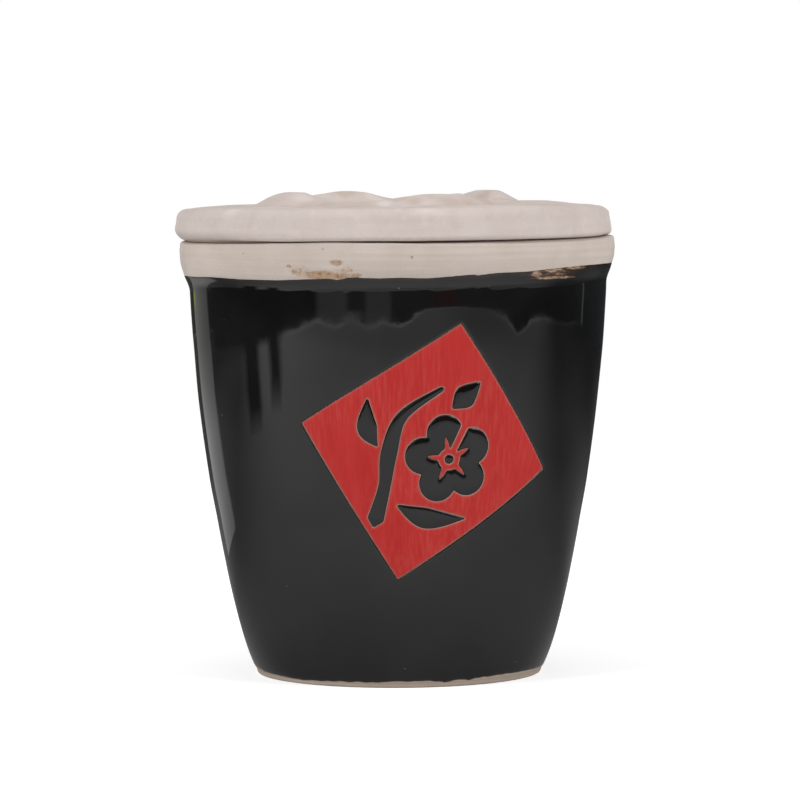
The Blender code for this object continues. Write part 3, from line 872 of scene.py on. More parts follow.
# Places where the coat is worn through under the rim, as for the stains
STREAKED = (300, 300, 1500)
WORN_STREAKS = (
    (39.5, 0.1475, (0.0045, 0.0045, 0.0028), STREAKED, 0.54, 1),
    (45.5, 0.1488, (0.01, 0.01, 0.0015), STREAKED, 0.5, 1),
    (46.5, 0.1461, (0.0185, 0.0185, 0.0009), STREAKED, 0.66, 0.7),
    (54.5, 0.1494, (0.011, 0.013, 0.0012), STREAKED, 0.52, 1),
    (46, 0.1474, (0.015, 0.015, 0.0028), STREAKED, 0.3, 1),
)


def patches_mask(tree, patches):
    """One mask of all the ragged patches."""
    mask = 0.0
    for degrees, height, reach, closeness, fill, broken in patches:
        closeness = closeness if isinstance(closeness, tuple) else (closeness,) * 3
        centre = at_angle(math.radians(degrees), wall_radius(height), height)
        values = {"reach": reach, "closeness": closeness, "fill": fill, "broken": broken}
        patch = use_group(tree, RAGGED_PATCH, centre=centre, **values)["Mask"]
        mask = math_node(tree, "MAXIMUM", mask, patch)
    return mask


def bare_clay_material():
    made, tree, shader = new_material("bare_clay")
    place = object_place(tree)
    height = axes_of(tree, place)["Z"]
    grain = use_group(tree, CLAY_GRAIN)
    marks = use_group(tree, TURNING_MARKS, closeness=820.0)
    dots = use_group(tree, PINHOLES, closeness=150.0, share=0.10, size=0.05)
    stain = patches_mask(tree, RIM_STAINS)
    speckled = ranged(tree, noise_at(tree, place, 700.0, 3.0, 0.6), 0.42, 0.68)
    core = times(tree, ranged(tree, stain, 0.35, 1.1), speckled)
    beside_slip = times(tree, ranged(tree, height, 0.010, 0.016), ranged(tree, height, 0.138, 0.132))
    patchy = ranged(tree, noise_at(tree, place, 75.0, 5.0, 0.65), 0.40, 0.62, 0.25, 1.0)
    stood = times(tree, ranged(tree, height, 0.0016, 0.0006), marks["Tone"])
    colour = layered(
        tree,
        blend_colour(tree, grain["Cloud"], (0.545, 0.470, 0.415), (0.60, 0.525, 0.475)),
        (marks["Tone"], 0.25, (0.51, 0.43, 0.375)),
        (grain["Grit"], 0.35, (0.38, 0.30, 0.25)),
        (dots["Mask"], 1.0, (0.22, 0.13, 0.08)),
        (ranged(tree, stain, 0.0, 0.75), 0.78, (0.415, 0.265, 0.155)),
        (core, 1.0, (0.29, 0.150, 0.070)),
        (beside_slip, 0.85, (0.62, 0.33, 0.28)),
        # Painted shade: the clay darkens towards the foot, where the floor shades it
        (ranged(tree, height, 0.0090, 0.0045), 0.66, (0.34, 0.26, 0.20)),
        (times(tree, stood, patchy), 0.60, (0.54, 0.46, 0.39)),
    )
    roughness = ranged(tree, grain["Cloud"], 0.0, 1.0, 0.78, 0.92)
    layers = ((marks["Height"], 0.00012), (grain["Height"], 0.00005))
    finish_surface(tree, shader, colour, roughness, layers, Specular_IOR_Level=0.3)
    return made


def lid_clay_material():
    made, tree, shader = new_material("lid_clay")
    grain = use_group(tree, CLAY_GRAIN)
    marks = use_group(tree, TURNING_MARKS, closeness=620.0)
    dots = use_group(tree, PINHOLES, closeness=120.0, share=0.08, size=0.045)
    mottled = noise_at(tree, object_place(tree), 190.0, 5.0, 0.65)
    colour = layered(
        tree,
        blend_colour(tree, grain["Cloud"], (0.585, 0.505, 0.470), (0.640, 0.560, 0.525)),
        (ranged(tree, mottled, 0.46, 0.32), 0.7, (0.665, 0.575, 0.520)),
        (ranged(tree, mottled, 0.54, 0.72), 0.5, (0.545, 0.460, 0.415)),
        (marks["Tone"], 0.18, (0.54, 0.46, 0.42)),
        # Painted shade, with dust, in the ridge's creases and the finger dents, and darker patches on the
        # ridge
        (attribute_value(tree, "shade_and_dust"), 0.7, (0.50, 0.40, 0.33)),
        # Pale clay smears, with painted highlight where the slopes face the light
        (attribute_value(tree, "smear_and_highlight"), 0.7, (0.74, 0.66, 0.63)),
        (grain["Grit"], 0.3, (0.42, 0.33, 0.29)),
        (dots["Mask"], 1.0, (0.26, 0.16, 0.10)),
    )
    roughness = ranged(tree, grain["Cloud"], 0.0, 1.0, 0.82, 0.94)
    layers = ((marks["Height"], 0.00010), (grain["Height"], 0.00006))
    finish_surface(tree, shader, colour, roughness, layers, Specular_IOR_Level=0.25)
    return made


def black_glaze_material():
    made, tree, shader = new_material("black_glaze")
    place = object_place(tree)
    cloud = ranged(tree, noise_at(tree, place, 30.0), 0.35, 0.65)
    broken = ranged(tree, noise_at(tree, place, 420.0, 4.0), 0.35, 0.6)
    rubbed = ranged(tree, stretched_noise(tree, (200.0, 200.0, 1100.0), 4.0, 0.65), 0.25, 0.7)
    scraped = ranged(tree, stretched_noise(tree, (420.0, 420.0, 3600.0), 3.0, 0.6), 0.38, 0.68)
    streaks = patches_mask(tree, WORN_STREAKS)
    bare = times(tree, ranged(tree, streaks, 0.12, 0.95), scraped)
    dust = use_group(tree, PINHOLES, closeness=210.0, share=0.14, size=0.055)["Mask"]
    holes = use_group(tree, PINHOLES, closeness=95.0, share=0.30, size=0.038)["Mask"]
    colour = layered(
        tree,
        blend_colour(tree, cloud, (0.0035, 0.0037, 0.0037), (0.0070, 0.0070, 0.0070)),
        (times(tree, attribute_value(tree, "thin"), broken), 0.6, (0.045, 0.022, 0.012)),
        (times(tree, attribute_value(tree, "worn"), rubbed), 1.0, (0.060, 0.030, 0.018)),
        (ranged(tree, streaks, 0.0, 0.30), 0.85, (0.115, 0.062, 0.038)),
        (bare, 1.0, (0.56, 0.375, 0.24)),
        (dust, 1.0, (0.055, 0.050, 0.042)),
        (holes, 1.0, (0.10, 0.088, 0.068)),
    )
    roughness = ranged(tree, noise_at(tree, place, 60.0), 0.3, 0.7, 0.030, 0.060)
    for mask, rough in ((bare, 0.75), (holes, 0.5)):
        roughness = math_node(tree, "MAXIMUM", roughness, times(tree, mask, rough))
    dip = math_node(tree, "SUBTRACT", 1.0, holes)
    layers = ((noise_at(tree, place, 300.0), 0.000004), (dip, 0.00012))
    finish_surface(tree, shader, colour, roughness, layers, IOR=1.45)
    return made


def lining_glaze_material():
    made, tree, shader = new_material("lining_glaze")
    place = object_place(tree)
    cloud = ranged(tree, noise_at(tree, place, 45.0, 4.0, 0.6), 0.35, 0.65)
    colour = blend_colour(tree, cloud, (0.030, 0.018, 0.012), (0.060, 0.036, 0.022))
    holes = use_group(tree, PINHOLES, closeness=120.0, share=0.3, size=0.04)
    colour = blend_colour(tree, holes["Mask"], colour, (0.15, 0.10, 0.06))
    roughness = ranged(tree, noise_at(tree, place, 90.0), 0.3, 0.7, 0.10, 0.20)
    marks = use_group(tree, TURNING_MARKS, closeness=260.0)
    finish_surface(tree, shader, colour, roughness, ((marks["Height"], 0.0003),))
    return made


def red_slip_material():
    made, tree, shader = new_material("red_slip")
    streaks = stretched_noise(tree, (1000.0, 1000.0, 22.0), 3.0, 0.6)
    broad = ranged(tree, stretched_noise(tree, (150.0, 150.0, 12.0), 3.0, 0.5), 0.3, 0.7)
    faded = ranged(tree, noise_at(tree, object_place(tree), 38.0, 3.0), 0.35, 0.65, 0.35, 1.0)
    colour = layered(
        tree,
        blend_colour(tree, broad, (0.450, 0.020, 0.018), (0.490, 0.026, 0.023)),
        (times(tree, ranged(tree, streaks, 0.38, 0.68), faded), 0.16, (0.66, 0.18, 0.15)),
        (attribute_value(tree, "edge"), 0.60, (0.60, 0.26, 0.21)),
    )
    roughness = ranged(tree, streaks, 0.3, 0.7, 0.6, 0.75)
    finish_surface(tree, shader, colour, roughness, ((streaks, 0.00002),), Specular_IOR_Level=0.2)
    return made


BARE_CLAY = bare_clay_material()
LID_CLAY = lid_clay_material()
BLACK_GLAZE = black_glaze_material()
LINING_GLAZE = lining_glaze_material()
RED_SLIP = red_slip_material()


# The pot


def inner_profile():
    """Centre of the floor to the mouth, as seen from inside."""
    corner_top = BASE_THICKNESS + FLOOR_ROUND
    heights = np.linspace(corner_top, RIM_HEIGHT - MOUTH_ROUND, 70)
    climb = wall_radius(heights) - WALL_THICKNESS
    into_mouth = smooth_step((heights - NECK_HEIGHT) / (BAND_HEIGHT - MOUTH_ROUND))
    climb = climb * (1 - into_mouth) + MOUTH_RADIUS * into_mouth
    corner = curve_points(
        (climb[0] - FLOOR_ROUND, BASE_THICKNESS),
        (climb[0] - 0.45 * FLOOR_ROUND, BASE_THICKNESS),
        (climb[0] - 0.12 * FLOOR_ROUND, BASE_THICKNESS + 0.45 * FLOOR_ROUND),
        (climb[0], corner_top),
        14,
    )
    floor = level_points(BASE_THICKNESS, INNERMOST_RING, climb[0] - FLOOR_ROUND, 12)
    return np.vstack((floor[:-1], corner[:-1], np.column_stack((climb, heights))))


INNER = inner_profile()


def pot_profile():
    """The whole section: base's centre, foot, wall, rim, lip and inside down to the floor's centre."""
    foot_flat = FOOT_RADIUS - FOOT_ROUND
    ring_inside = foot_flat - FOOT_RING_WIDTH
    hollow_edge = ring_inside - FOOT_HOLLOW_EDGE
    hollow = level_points(FOOT_HOLLOW_DEPTH, INNERMOST_RING, hollow_edge, 9)
    edge = curve_points(
        (hollow_edge, FOOT_HOLLOW_DEPTH),
        (ring_inside - 0.4 * FOOT_HOLLOW_EDGE, FOOT_HOLLOW_DEPTH),
        (ring_inside - 0.4 * FOOT_HOLLOW_EDGE, 0.0),
        (ring_inside, 0.0),
        7,
    )
    ring = level_points(0.0, ring_inside, foot_flat, 6)[1:-1]
    foot = arc_points((foot_flat, FOOT_ROUND), FOOT_ROUND, -90, 0, 6)
    band_top = RIM_HEIGHT - RIM_ROUND
    ends = (FOOT_ROUND, FINE_ROWS_END, FINE_ROWS_START, band_top)
    steps = zip(ends, ends[1:], (16, 66, 42))
    heights = np.concatenate([np.linspace(*step)[1:] for step in steps])
    wall = np.column_stack((wall_radius(heights), heights))
    lip_edge = wall[-1, 0] - RIM_ROUND
    rim = arc_points((lip_edge, band_top), RIM_ROUND, 0, 90, 7)[1:]
    mouth_edge = MOUTH_RADIUS + MOUTH_ROUND
    lip = level_points(RIM_HEIGHT, lip_edge, mouth_edge, 10)[1:-1]
    mouth = arc_points((mouth_edge, RIM_HEIGHT - MOUTH_ROUND), MOUTH_ROUND, 90, 180, MOUTH_ROWS)
    return np.vstack((hollow[:-1], edge, ring, foot, wall, rim, lip, mouth, INNER[::-1][1:]))


def turned_rings(profile, columns):
    """The angle of each column, and the profile's radii and heights repeated for each."""
    angles = np.arange(columns) * math.tau / columns
    radii = np.repeat(profile[:, :1], columns, axis=1)
    heights = np.repeat(profile[:, 1:], columns, axis=1)
    return angles, radii, heights


def build_pot():
    """The turned clay, sunk where it is coated, with the potter's marks on its bare bands."""
    profile = pot_profile()
    angles, radii, heights = turned_rings(profile, TURNED_COLUMNS)
    outside = (np.arange(len(profile)) < len(profile) - len(INNER) - MOUTH_ROWS + 1)[:, None]
    upper, lower = glaze_edge(angles), glaze_foot(angles)
    coated = smooth_step((upper - heights) / COAT_STEP) * smooth_step((heights - lower) / COAT_STEP)
    coated *= outside & (heights > FOOT_ROUND * 0.5)
    sunk_inside = smooth_step((INNER_GLAZE_LINE - heights) / COAT_STEP) * ~outside
    rim_edge = smooth_step((radii - RIM_SWAY_INSIDE) / RIM_SWAY_RUN) * outside
    rim_edge = rim_edge * smooth_step(1 - (RIM_HEIGHT - heights) / RIM_SWAY_DEPTH)
    bare = (1 - coated) * outside * (heights > FOOT_ROUND)
    swell = bare * uneven(at_angle(angles, radii, heights), POT_UNEVEN) - bare * POT_TURNED_IN
    radii = radii - COAT_DEPTH * coated + LINING_THICKNESS * sunk_inside * (heights > JUST_OVER_FLOOR)
    radii = radii + swell * smooth_step((RIM_HEIGHT - heights) / RIM_ROUND)
    floor = sunk_inside * (heights <= JUST_OVER_FLOOR)
    heights = heights - LINING_THICKNESS * floor + round_the_rim(angles, RIM_SWAY) * rim_edge
    piece = turned_piece("turned_pot", leaning(at_angle(angles, radii, heights)), BARE_CLAY)
    finish_piece(piece, "jar", "bare_clay", "jar_body")


def build_lining():
    """The lining, from the floor's centre up to its line under the lip."""
    face = INNER[INNER[:, 1] < INNER_GLAZE_LINE - SEAM]
    angles, radii, heights = turned_rings(face, LINING_COLUMNS)
    line = LINING_LINE_WAVE * bumps(at_angle(angles, MOUTH_RADIUS, 0), 0.02, 31) - LINING_LINE_DROP
    share = smooth_step((heights - LINING_LINE_START) / (INNER_GLAZE_LINE - LINING_LINE_START))
    heights = heights + line * share
    behind = 0.8 * LINING_THICKNESS
    is_floor = heights <= JUST_OVER_FLOOR
    front = at_angle(angles, radii - LINING_PROUD, heights)
    back = at_angle(angles, radii + behind * ~is_floor, heights - behind * is_floor)
    piece = turned_piece("lining_coat", leaning(np.concatenate((back, front[::-1]))), LINING_GLAZE)
    finish_piece(piece, "jar", "inner_glaze", "inner_glaze")


# The black coat


def coat_wave(points):
    """How far the coat's face swells and dips where it ran and pooled."""
    stretched = points * (1.0, 1.0, 0.7)
    wave = COAT_WAVE * bumps(stretched, COAT_WAVE_SIZE, 41)
    return wave + COAT_RIPPLE * bumps(stretched, COAT_RIPPLE_SIZE, 43)


def edge_drop(distance, reach, depth):
    """How far a rounded edge lies under the face, at a distance from the edge."""
    inwards = np.clip(1 - distance / reach, 0, 1)
    return depth * (1 - np.sqrt(1 - inwards**2))


def coat_rows():
    """Shares of the way up the coat, closer together at its two edges."""
    near = np.array([0.0, 0.0008, 0.0020, 0.0036, 0.0060])
    middle = np.linspace(near[-1], 1 - near[-1], COAT_ROWS)[1:-1]
    return np.concatenate((near, middle, 1 - near[::-1]))


# The part of the coat's grid that is filled afresh round the window: degrees, and shares of the way up
PATCH_DEGREES = (-40.0, 58.0)
PATCH_SHARES = (0.13, 0.955)
MEAN_RADIUS = 0.0700  # of the coat laid flat, for its filling
MEAN_RISE = 0.1445


def coat_sheet():
    """The coat's faces, the angle and height of its points, and how far they lie from its edges.

    The edges are the window, the top and the foot.
    """
    rows = coat_rows()
    columns = TURNED_COLUMNS
    angles = np.arange(columns) * math.tau / columns
    edges = (glaze_foot(angles), glaze_edge(angles))

    def edges_at(angle):
        return [np.interp(angle % math.tau, angles, edge, period=math.tau) for edge in edges]

    first = math.floor(math.radians(PATCH_DEGREES[0]) / math.tau * columns)
    last = math.ceil(math.radians(PATCH_DEGREES[1]) / math.tau * columns)
    low_row, high_row = (int(row) for row in np.searchsorted(rows, PATCH_SHARES))
    faces = []
    for row in range(len(rows) - 1):
        for column in range(first, first + columns):
            if low_row <= row < high_row and column < last:
                continue
            here, there = (row * columns + number % columns for number in (column, column + 1))
            faces.append((here, there, there + columns, here + columns))
    around = [(low_row, column) for column in range(first, last)]
    around += [(row, last) for row in range(low_row, high_row)]
    around += [(high_row, column) for column in range(last, first, -1)]
    around += [(row, first) for row in range(high_row, low_row, -1)]
    border = [(column * math.tau / columns * MEAN_RADIUS, rows[row] * MEAN_RISE) for row, column in around]
    window_angle, window_height = on_panel(evenly(WINDOW_CORNERS, OUTLINE_SPACING * 2))
    low, high = edges_at(window_angle)
    window_share = (window_height - low) / (high - low)
    window = np.column_stack((window_angle * MEAN_RADIUS, window_share * MEAN_RISE))
    patch_points, patch_faces = filled([window], COAT_SPACING, COAT_EDGE_ROWS, [np.array(border)])
    tree = search_tree(border)
    numbers, inner = [], []
    for x, y in patch_points:
        _, index, distance = tree.find((x, y, 0))
        if distance < 1e-6:
            row, column = around[index]
            numbers.append(row * columns + column % columns)
        else:
            numbers.append(len(rows) * columns + len(inner))
            inner.append((x / MEAN_RADIUS, y / MEAN_RISE))
    faces += [tuple(numbers[corner] for corner in face) for face in patch_faces]
    grid = np.stack(np.meshgrid(angles, rows), axis=-1).reshape(-1, 2)
    used, renumbered = np.unique([corner for face in faces for corner in face], return_inverse=True)
    sizes = np.cumsum([len(face) for face in faces])[:-1]
    faces = [tuple(face) for face in np.split(renumbered, sizes)]
    angle, share = np.vstack((grid, inner))[used].T
    low, high = edges_at(angle)
    height = low + (high - low) * share
    turn = (angle + math.pi) % math.tau - math.pi
    flat = np.column_stack(((turn - PANEL_AZIMUTH) * wall_radius(height), height - PANEL_HEIGHT))
    near_window = distance_to([evenly(WINDOW_CORNERS, OUTLINE_SPACING)], flat)
    return faces, angle, height, (near_window, high - height, height - low)


# Where the coat is rubbed thin under the rim: degrees, height, half width and half height
WORN_PATCHES = (
    (40, 0.148, 0.01, 0.003), (50, 0.1485, 0.011, 0.003), (62, 0.15, 0.012, 0.0012),
)


def build_coat():
    faces, angle, height, from_edges = coat_sheet()
    nominal = wall_radius(height)
    edges = list(zip(from_edges, COAT_EDGES))
    drop = np.max([edge_drop(away, reach, depth) for away, (reach, depth, _) in edges], axis=0)
    lift = COAT_PROUD + coat_wave(at_angle(angle, nominal, height)) - drop
    front = leaning(at_angle(angle, nominal + lift, height))
    back = leaning(at_angle(angle, nominal - 0.9 * COAT_DEPTH, height))
    thin = smooth_step(1 - np.min([away / reach for away, (_, _, reach) in edges], axis=0))
    worn = np.zeros(len(angle))
    for degrees, middle, half_width, half_height in WORN_PATCHES:
        turn = (angle - math.radians(degrees) + math.pi) % math.tau - math.pi
        away = np.hypot(turn * NECK_RADIUS / half_width, (height - middle) / half_height)
        worn = np.maximum(worn, smooth_step(1.15 - away))
    piece = sheet_piece("black_coat", faces, front, back, BLACK_GLAZE, {"thin": thin, "worn": worn})
    finish_piece(piece, "jar", "black_glaze", "outer_glaze")


# The red panel and the sprig


def build_slip():
    """Red slip in the window, with brush ridges, clear of the window's edge and of the islands."""
    centre = np.mean(WINDOW_CORNERS, axis=0)
    shrink = 1 - 2 * WINDOW_LINE / PANEL_SIDE
    square = centre + (np.array(WINDOW_CORNERS) - centre) * shrink
    loops = [evenly(loop, OUTLINE_SPACING * 2) for loop in (square, *sprig(ISLAND_LINE).values())]
    flat, faces = filled(loops, SLIP_SPACING, SLIP_EDGE_ROWS)
    from_edge = distance_to(loops, flat)
    ridges = flat_bumps(flat, 0.0011, 51, (1, 0.06))
    swell = flat_bumps(flat, 0.014, 53)
    drop = edge_drop(from_edge, SLIP_EDGE, SLIP_EDGE_DROP)
    front = wrapped(flat, -SLIP_DEPTH + BRUSH_RIDGE * ridges + SLIP_SWELL * swell - drop)
    back = wrapped(flat, -0.95 * COAT_DEPTH)
    edge = smooth_step(1 - from_edge / SLIP_EDGE)
    piece = sheet_piece("red_slip_panel", faces, front, back, RED_SLIP, {"edge": edge})
    finish_piece(piece, "jar", "red_slip", "red_panel")


def build_islands():
    """Domed islands of black glaze, each with a rounded edge."""
    for number, (name, outline) in enumerate(sprig(0.0).items()):
        loop = evenly(outline, OUTLINE_SPACING)
        flat, faces = filled([loop], ISLAND_SPACING, ISLAND_EDGE_ROWS)
        from_edge = distance_to([loop], flat)
        reach = np.clip(from_edge / ISLAND_DOME_REACH, 0, 1)
        dome = ISLAND_DOME * (1 - (1 - reach) ** 2)
        drop = edge_drop(from_edge, ISLAND_EDGE_ROUND, ISLAND_STEP)
        swell = ISLAND_SWELL * flat_bumps(flat, 0.006, 61 + number) * reach
        front = wrapped(flat, -COAT_DEPTH + ISLAND_STEP + dome + swell - drop)
        back = wrapped(flat, -1.05 * COAT_DEPTH)
        attributes = {"thin": smooth_step(1 - from_edge / ISLAND_EDGE_ROUND), "worn": np.zeros(len(flat))}
        title = "island_" + name.removeprefix("motif_")
        piece = sheet_piece(title, faces, front, back, BLACK_GLAZE, attributes)
        finish_piece(piece, "jar", "black_glaze", name)


# The lid


def lid_top_at(radius):
    return LID_TOP + LID_CROWN * (1 - (radius / LID_RADIUS) ** 2)


def ridge_at(x, y):
    """How far the ridge stands above the plate at places on the lid."""
    x, y = x - GRIP_SHIFT[0], y - GRIP_SHIFT[1]
    across = np.abs(np.hypot(x, y) - GRIP_RADIUS) / (GRIP_WIDTH / 2)
    crest = np.full(x.shape, GRIP_PRESSED)
    for direction, height, spread in GRIP_ARCHES:
        off = np.abs((np.degrees(np.arctan2(y, x)) - direction + 180) % 360 - 180)
        arch = (height - GRIP_PRESSED) * (1 + np.cos(np.pi * np.clip(off / spread, 0, 1))) / 2
        crest = crest + arch
    crest = crest + np.interp(x + GRIP_SHIFT[0], *np.transpose(RIDGE_TRIM))
    bell = (1 + np.cos(np.pi * np.clip(across, 0, 1))) / 2
    return crest * bell**0.75


# Finger dents in the lid's top: place, radius and depth
FINGER_DENTS = (
    (0.0077, -0.049, 0.003, 0.00025), (0.0208, -0.0475, 0.0034, 0.0003),
    (0.0277, -0.043, 0.0034, 0.0003), (0.0354, -0.037, 0.003, 0.0002), (-0.032, -0.044, 0.005, 0.00035),
    (-0.015, -0.052, 0.006, 0.00025), (0.056, -0.042, 0.0085, 0.0005), (-0.02, -0.027, 0.008, 0.0007),
    (0.01, -0.028, 0.008, 0.0009), (0.027, 0.001, 0.0065, 0.0008), (-0.029, 0.005, 0.007, 0.0008),
    (0.002, 0.025, 0.007, 0.0008), (0.035, 0.044, 0.008, 0.0006), (-0.042, 0.04, 0.0085, 0.0006),
    (-0.056, 0.005, 0.008, 0.0004), (0.006, 0.056, 0.009, 0.0005),
)
# Pale smears of wet clay on the lid, which also paint highlight where its slopes face the light from above:
# place and reach
PALE_SMEARS_AND_HIGHLIGHTS = (
    (-0.045, -0.038, 0.005, 0.006), (-0.035, -0.049, 0.006, 0.004), (-0.003, -0.051, 0.0035, 0.007),
    (0.002, -0.06, 0.01, 0.006), (0.03, -0.05, 0.006, 0.002), (0.013, -0.078, 0.008, 0.003),
    (-0.06, -0.053, 0.009, 0.004), (0.01, 0.05, 0.011, 0.005), (-0.048, 0.015, 0.008, 0.006),
)


def lid_profile():
    keeper_outside = MOUTH_RADIUS - MOUTH_PLAY
    keeper_inside = keeper_outside - KEEPER_WIDTH
    keeper_low = LID_UNDERSIDE - KEEPER_DROP + KEEPER_ROUND
    keeper_top = LID_UNDERSIDE - KEEPER_ROOT
    edge_low = LID_SEAT + LID_RELIEF + LID_EDGE_ROUND
    top_edge = LID_RADIUS - LID_SIDE_LEAN - LID_TOP_ROUND
    top_low = lid_top_at(top_edge) - LID_TOP_ROUND
    underside = level_points(LID_UNDERSIDE, INNERMOST_RING, keeper_inside - KEEPER_ROOT_INSIDE, 14)
    down = [(keeper_inside, height) for height in np.linspace(keeper_top, keeper_low, 5)[:-1]]
    inner_corner = arc_points((keeper_inside + KEEPER_ROUND, keeper_low), KEEPER_ROUND, 180, 270, 6)
    outer_corner = arc_points((keeper_outside - KEEPER_ROUND, keeper_low), KEEPER_ROUND, -90, 0, 6)
    up = [(keeper_outside, height) for height in np.linspace(keeper_low, keeper_top, 5)[1:]]
    seat = level_points(LID_SEAT, keeper_outside + KEEPER_ROOT_OUTSIDE, SEAT_EDGE, 5)
    relief = [(SEAT_EDGE + RELIEF_RUN, LID_SEAT + LID_RELIEF)]
    low_corner = arc_points((LID_RADIUS - LID_EDGE_ROUND, edge_low), LID_EDGE_ROUND, -90, 0, 6)
    side = curve_points(
        (LID_RADIUS, edge_low),
        (LID_RADIUS, edge_low + LID_SIDE_LOW_HANDLE),
        (LID_RADIUS - LID_SIDE_LEAN + LID_SIDE_HIGH_HANDLE[0], top_low - LID_SIDE_HIGH_HANDLE[1]),
        (LID_RADIUS - LID_SIDE_LEAN, top_low),
        16,
    )[1:-1]
    top_corner = arc_points((top_edge, top_low), LID_TOP_ROUND, 0, 90, 12)
    radii = np.linspace(top_edge, INNERMOST_RING, 76)[1:]
    crown = np.column_stack((radii, lid_top_at(radii)))
    low_parts = (underside, down, inner_corner, outer_corner, up, seat, relief, low_corner)
    return np.vstack((*low_parts, side, top_corner, crown))


def build_lid():
    """One piece of clay: the ridge is pinched up from the turned plate."""
    angles, radii, heights = turned_rings(lid_profile(), TURNED_COLUMNS)
    turned = at_angle(angles, radii, heights)
    on_top = smooth_step((heights - (LID_TOP - LID_TOP_ROUND)) / LID_TOP_ROUND)
    at_side = smooth_step((radii - (LID_RADIUS - LID_SIDE_DEPTH)) / LID_SIDE_RUN) * (heights > LID_SEAT)
    curl = smooth_step(1 - (heights - LID_SEAT) / LID_CURL_HEIGHT) * LID_CURL
    curl = smooth_step(-np.sin(angles) * 1.4 - 0.4) * curl
    radii = radii + at_side * (uneven(turned, LID_SIDE_UNEVEN) - LID_TURNED_IN - curl)
    outer = smooth_step((radii - SEAT_EDGE) / LID_GAP_RUN)
    outer = outer * smooth_step(1 - (heights - LID_SEAT) / LID_GAP_REACH)
    heights = heights + round_the_rim(angles, LID_GAP) * outer
    x, y = radii * np.sin(angles), -radii * np.cos(angles)
    rise = ridge_at(x, y)
    from_ridge = np.abs(np.hypot(x - GRIP_SHIFT[0], y - GRIP_SHIFT[1]) - GRIP_RADIUS) / (GRIP_WIDTH / 2)
    # Painted shade with dust along the ridge's feet and in the finger dents, and darker patches on the
    # ridge
    patchy = np.clip(0.30 + 0.55 * bumps(turned, 0.011, 79), 0, 1)
    shade_and_dust = patchy * np.exp(-(((from_ridge - CREASE_AT) / CREASE_REACH) ** 2))
    for dent_x, dent_y, reach, depth in FINGER_DENTS:
        dip = np.exp(-((x - dent_x) ** 2 + (y - dent_y) ** 2) / reach**2)
        rise = rise - depth * dip
        shade_and_dust = np.maximum(shade_and_dust, dip * min(1.0, DARKEST_DENT / reach))
    rise = rise + uneven(turned, LID_TOP_UNEVEN)
    for start, run, drop in SHOULDERS:
        rise = rise - drop * smooth_step((x - start) / run)
    heights = heights + on_top * rise
    on_ridge = smooth_step(1.6 - from_ridge)
    handled = bumps(turned, 0.0085, 83)
    shade_and_dust = np.maximum(shade_and_dust, 0.75 * on_ridge * smooth_step((handled - 0.10) / 0.35))
    smear_and_highlight = 0.65 * on_ridge * smooth_step((-handled - 0.12) / 0.35)
    for smear_x, smear_y, reach_x, reach_y in PALE_SMEARS_AND_HIGHLIGHTS:
        away = np.hypot((x - smear_x) / reach_x, (y - smear_y) / reach_y)
        smear_and_highlight = np.maximum(smear_and_highlight, smooth_step(1.2 - away))
    rings = at_angle(angles, radii, heights)
    rings[..., 2] += RIM_SLANT * (rings[..., 0] - SLANT_LINE)
    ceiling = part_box("lid")[1].z - HEADROOM
    above = np.maximum(rings[..., 2] - ceiling + CREST_SOFTNESS, 0)
    rings[..., 2] -= above - CREST_SOFTNESS * (1 - np.exp(-above / CREST_SOFTNESS))
    rings[..., 0] += LID_SHIFT
    looks = {"shade_and_dust": shade_and_dust, "smear_and_highlight": smear_and_highlight}
    attributes = {name: np.append(values * on_top, (0, 0)) for name, values in looks.items()}
    piece = turned_piece("pinched_lid", rings, LID_CLAY, attributes)
    finish_piece(piece, "lid", "lid_clay", "lid")


build_pot()
build_lining()
build_coat()
build_slip()
build_islands()
build_lid()


# Camera, floor and lights

TABLE_FRONT = 0.873  # the coat mirrors the pale table and the dim room beyond its edge
TABLE_FARTHEST = 2.0
TABLE_RINGS = (0.970, 0.984, 1.0)  # shares of the way out where the table's edge begins to gleam
TABLE_MIRRORED = 1.27
TABLE_EDGE_GLEAM = 2.3
# How its mirror image darkens, as painted shade: along which axis, where it starts and ends to, and what is
# left
TABLE_SHADES = (
    ("X", 0.15, 0.80, 0.45),
    ("Y", -0.20, 0.12, 0.23),
    ("Y", -0.34, -0.74, 0.62),
    ("Y", 0.20, 0.70, 0.40),
)
# The table's edge is uneven: directions from the front, and shares of its distance
TABLE_EDGE = (
    (-180, 1), (-90, 0.95), (-66.9, 0.913), (-58.2, 0.949), (-50.2, 1.021), (-43.4, 1.057),
    (-37.8, 1.028), (-33.2, 1.013), (-29.5, 1.03), (-25.6, 1.06), (-21.4, 1.04), (-17, 0.991),
    (-12.8, 0.985), (-8.3, 1.024), (-3, 0.989), (2.2, 0.968), (5.5, 0.996), (10.7, 1.064), (16, 1.148),
    (19.7, 1.174), (27.7, 1.191), (34.1, 1.176), (41.6, 1.132), (48.3, 1.103), (54.2, 1.067),
    (59, 1.03), (63, 0.965), (66.5, 0.885), (71, 0.93), (76.5, 1.01), (84.1, 1.026), (90.5, 1.006),
    (97.1, 0.979), (106.2, 0.968), (116.7, 0.987), (135, 1), (180, 1),
)
STUDIO_REACH = 2.4
STUDIO_HEIGHTS = (-1.4, 1.3)
STUDIO_COLUMNS = 96
AMBIENT = 0.52
FLOOR_TONE = 0.80
FLOOR_LIFT = 0.50


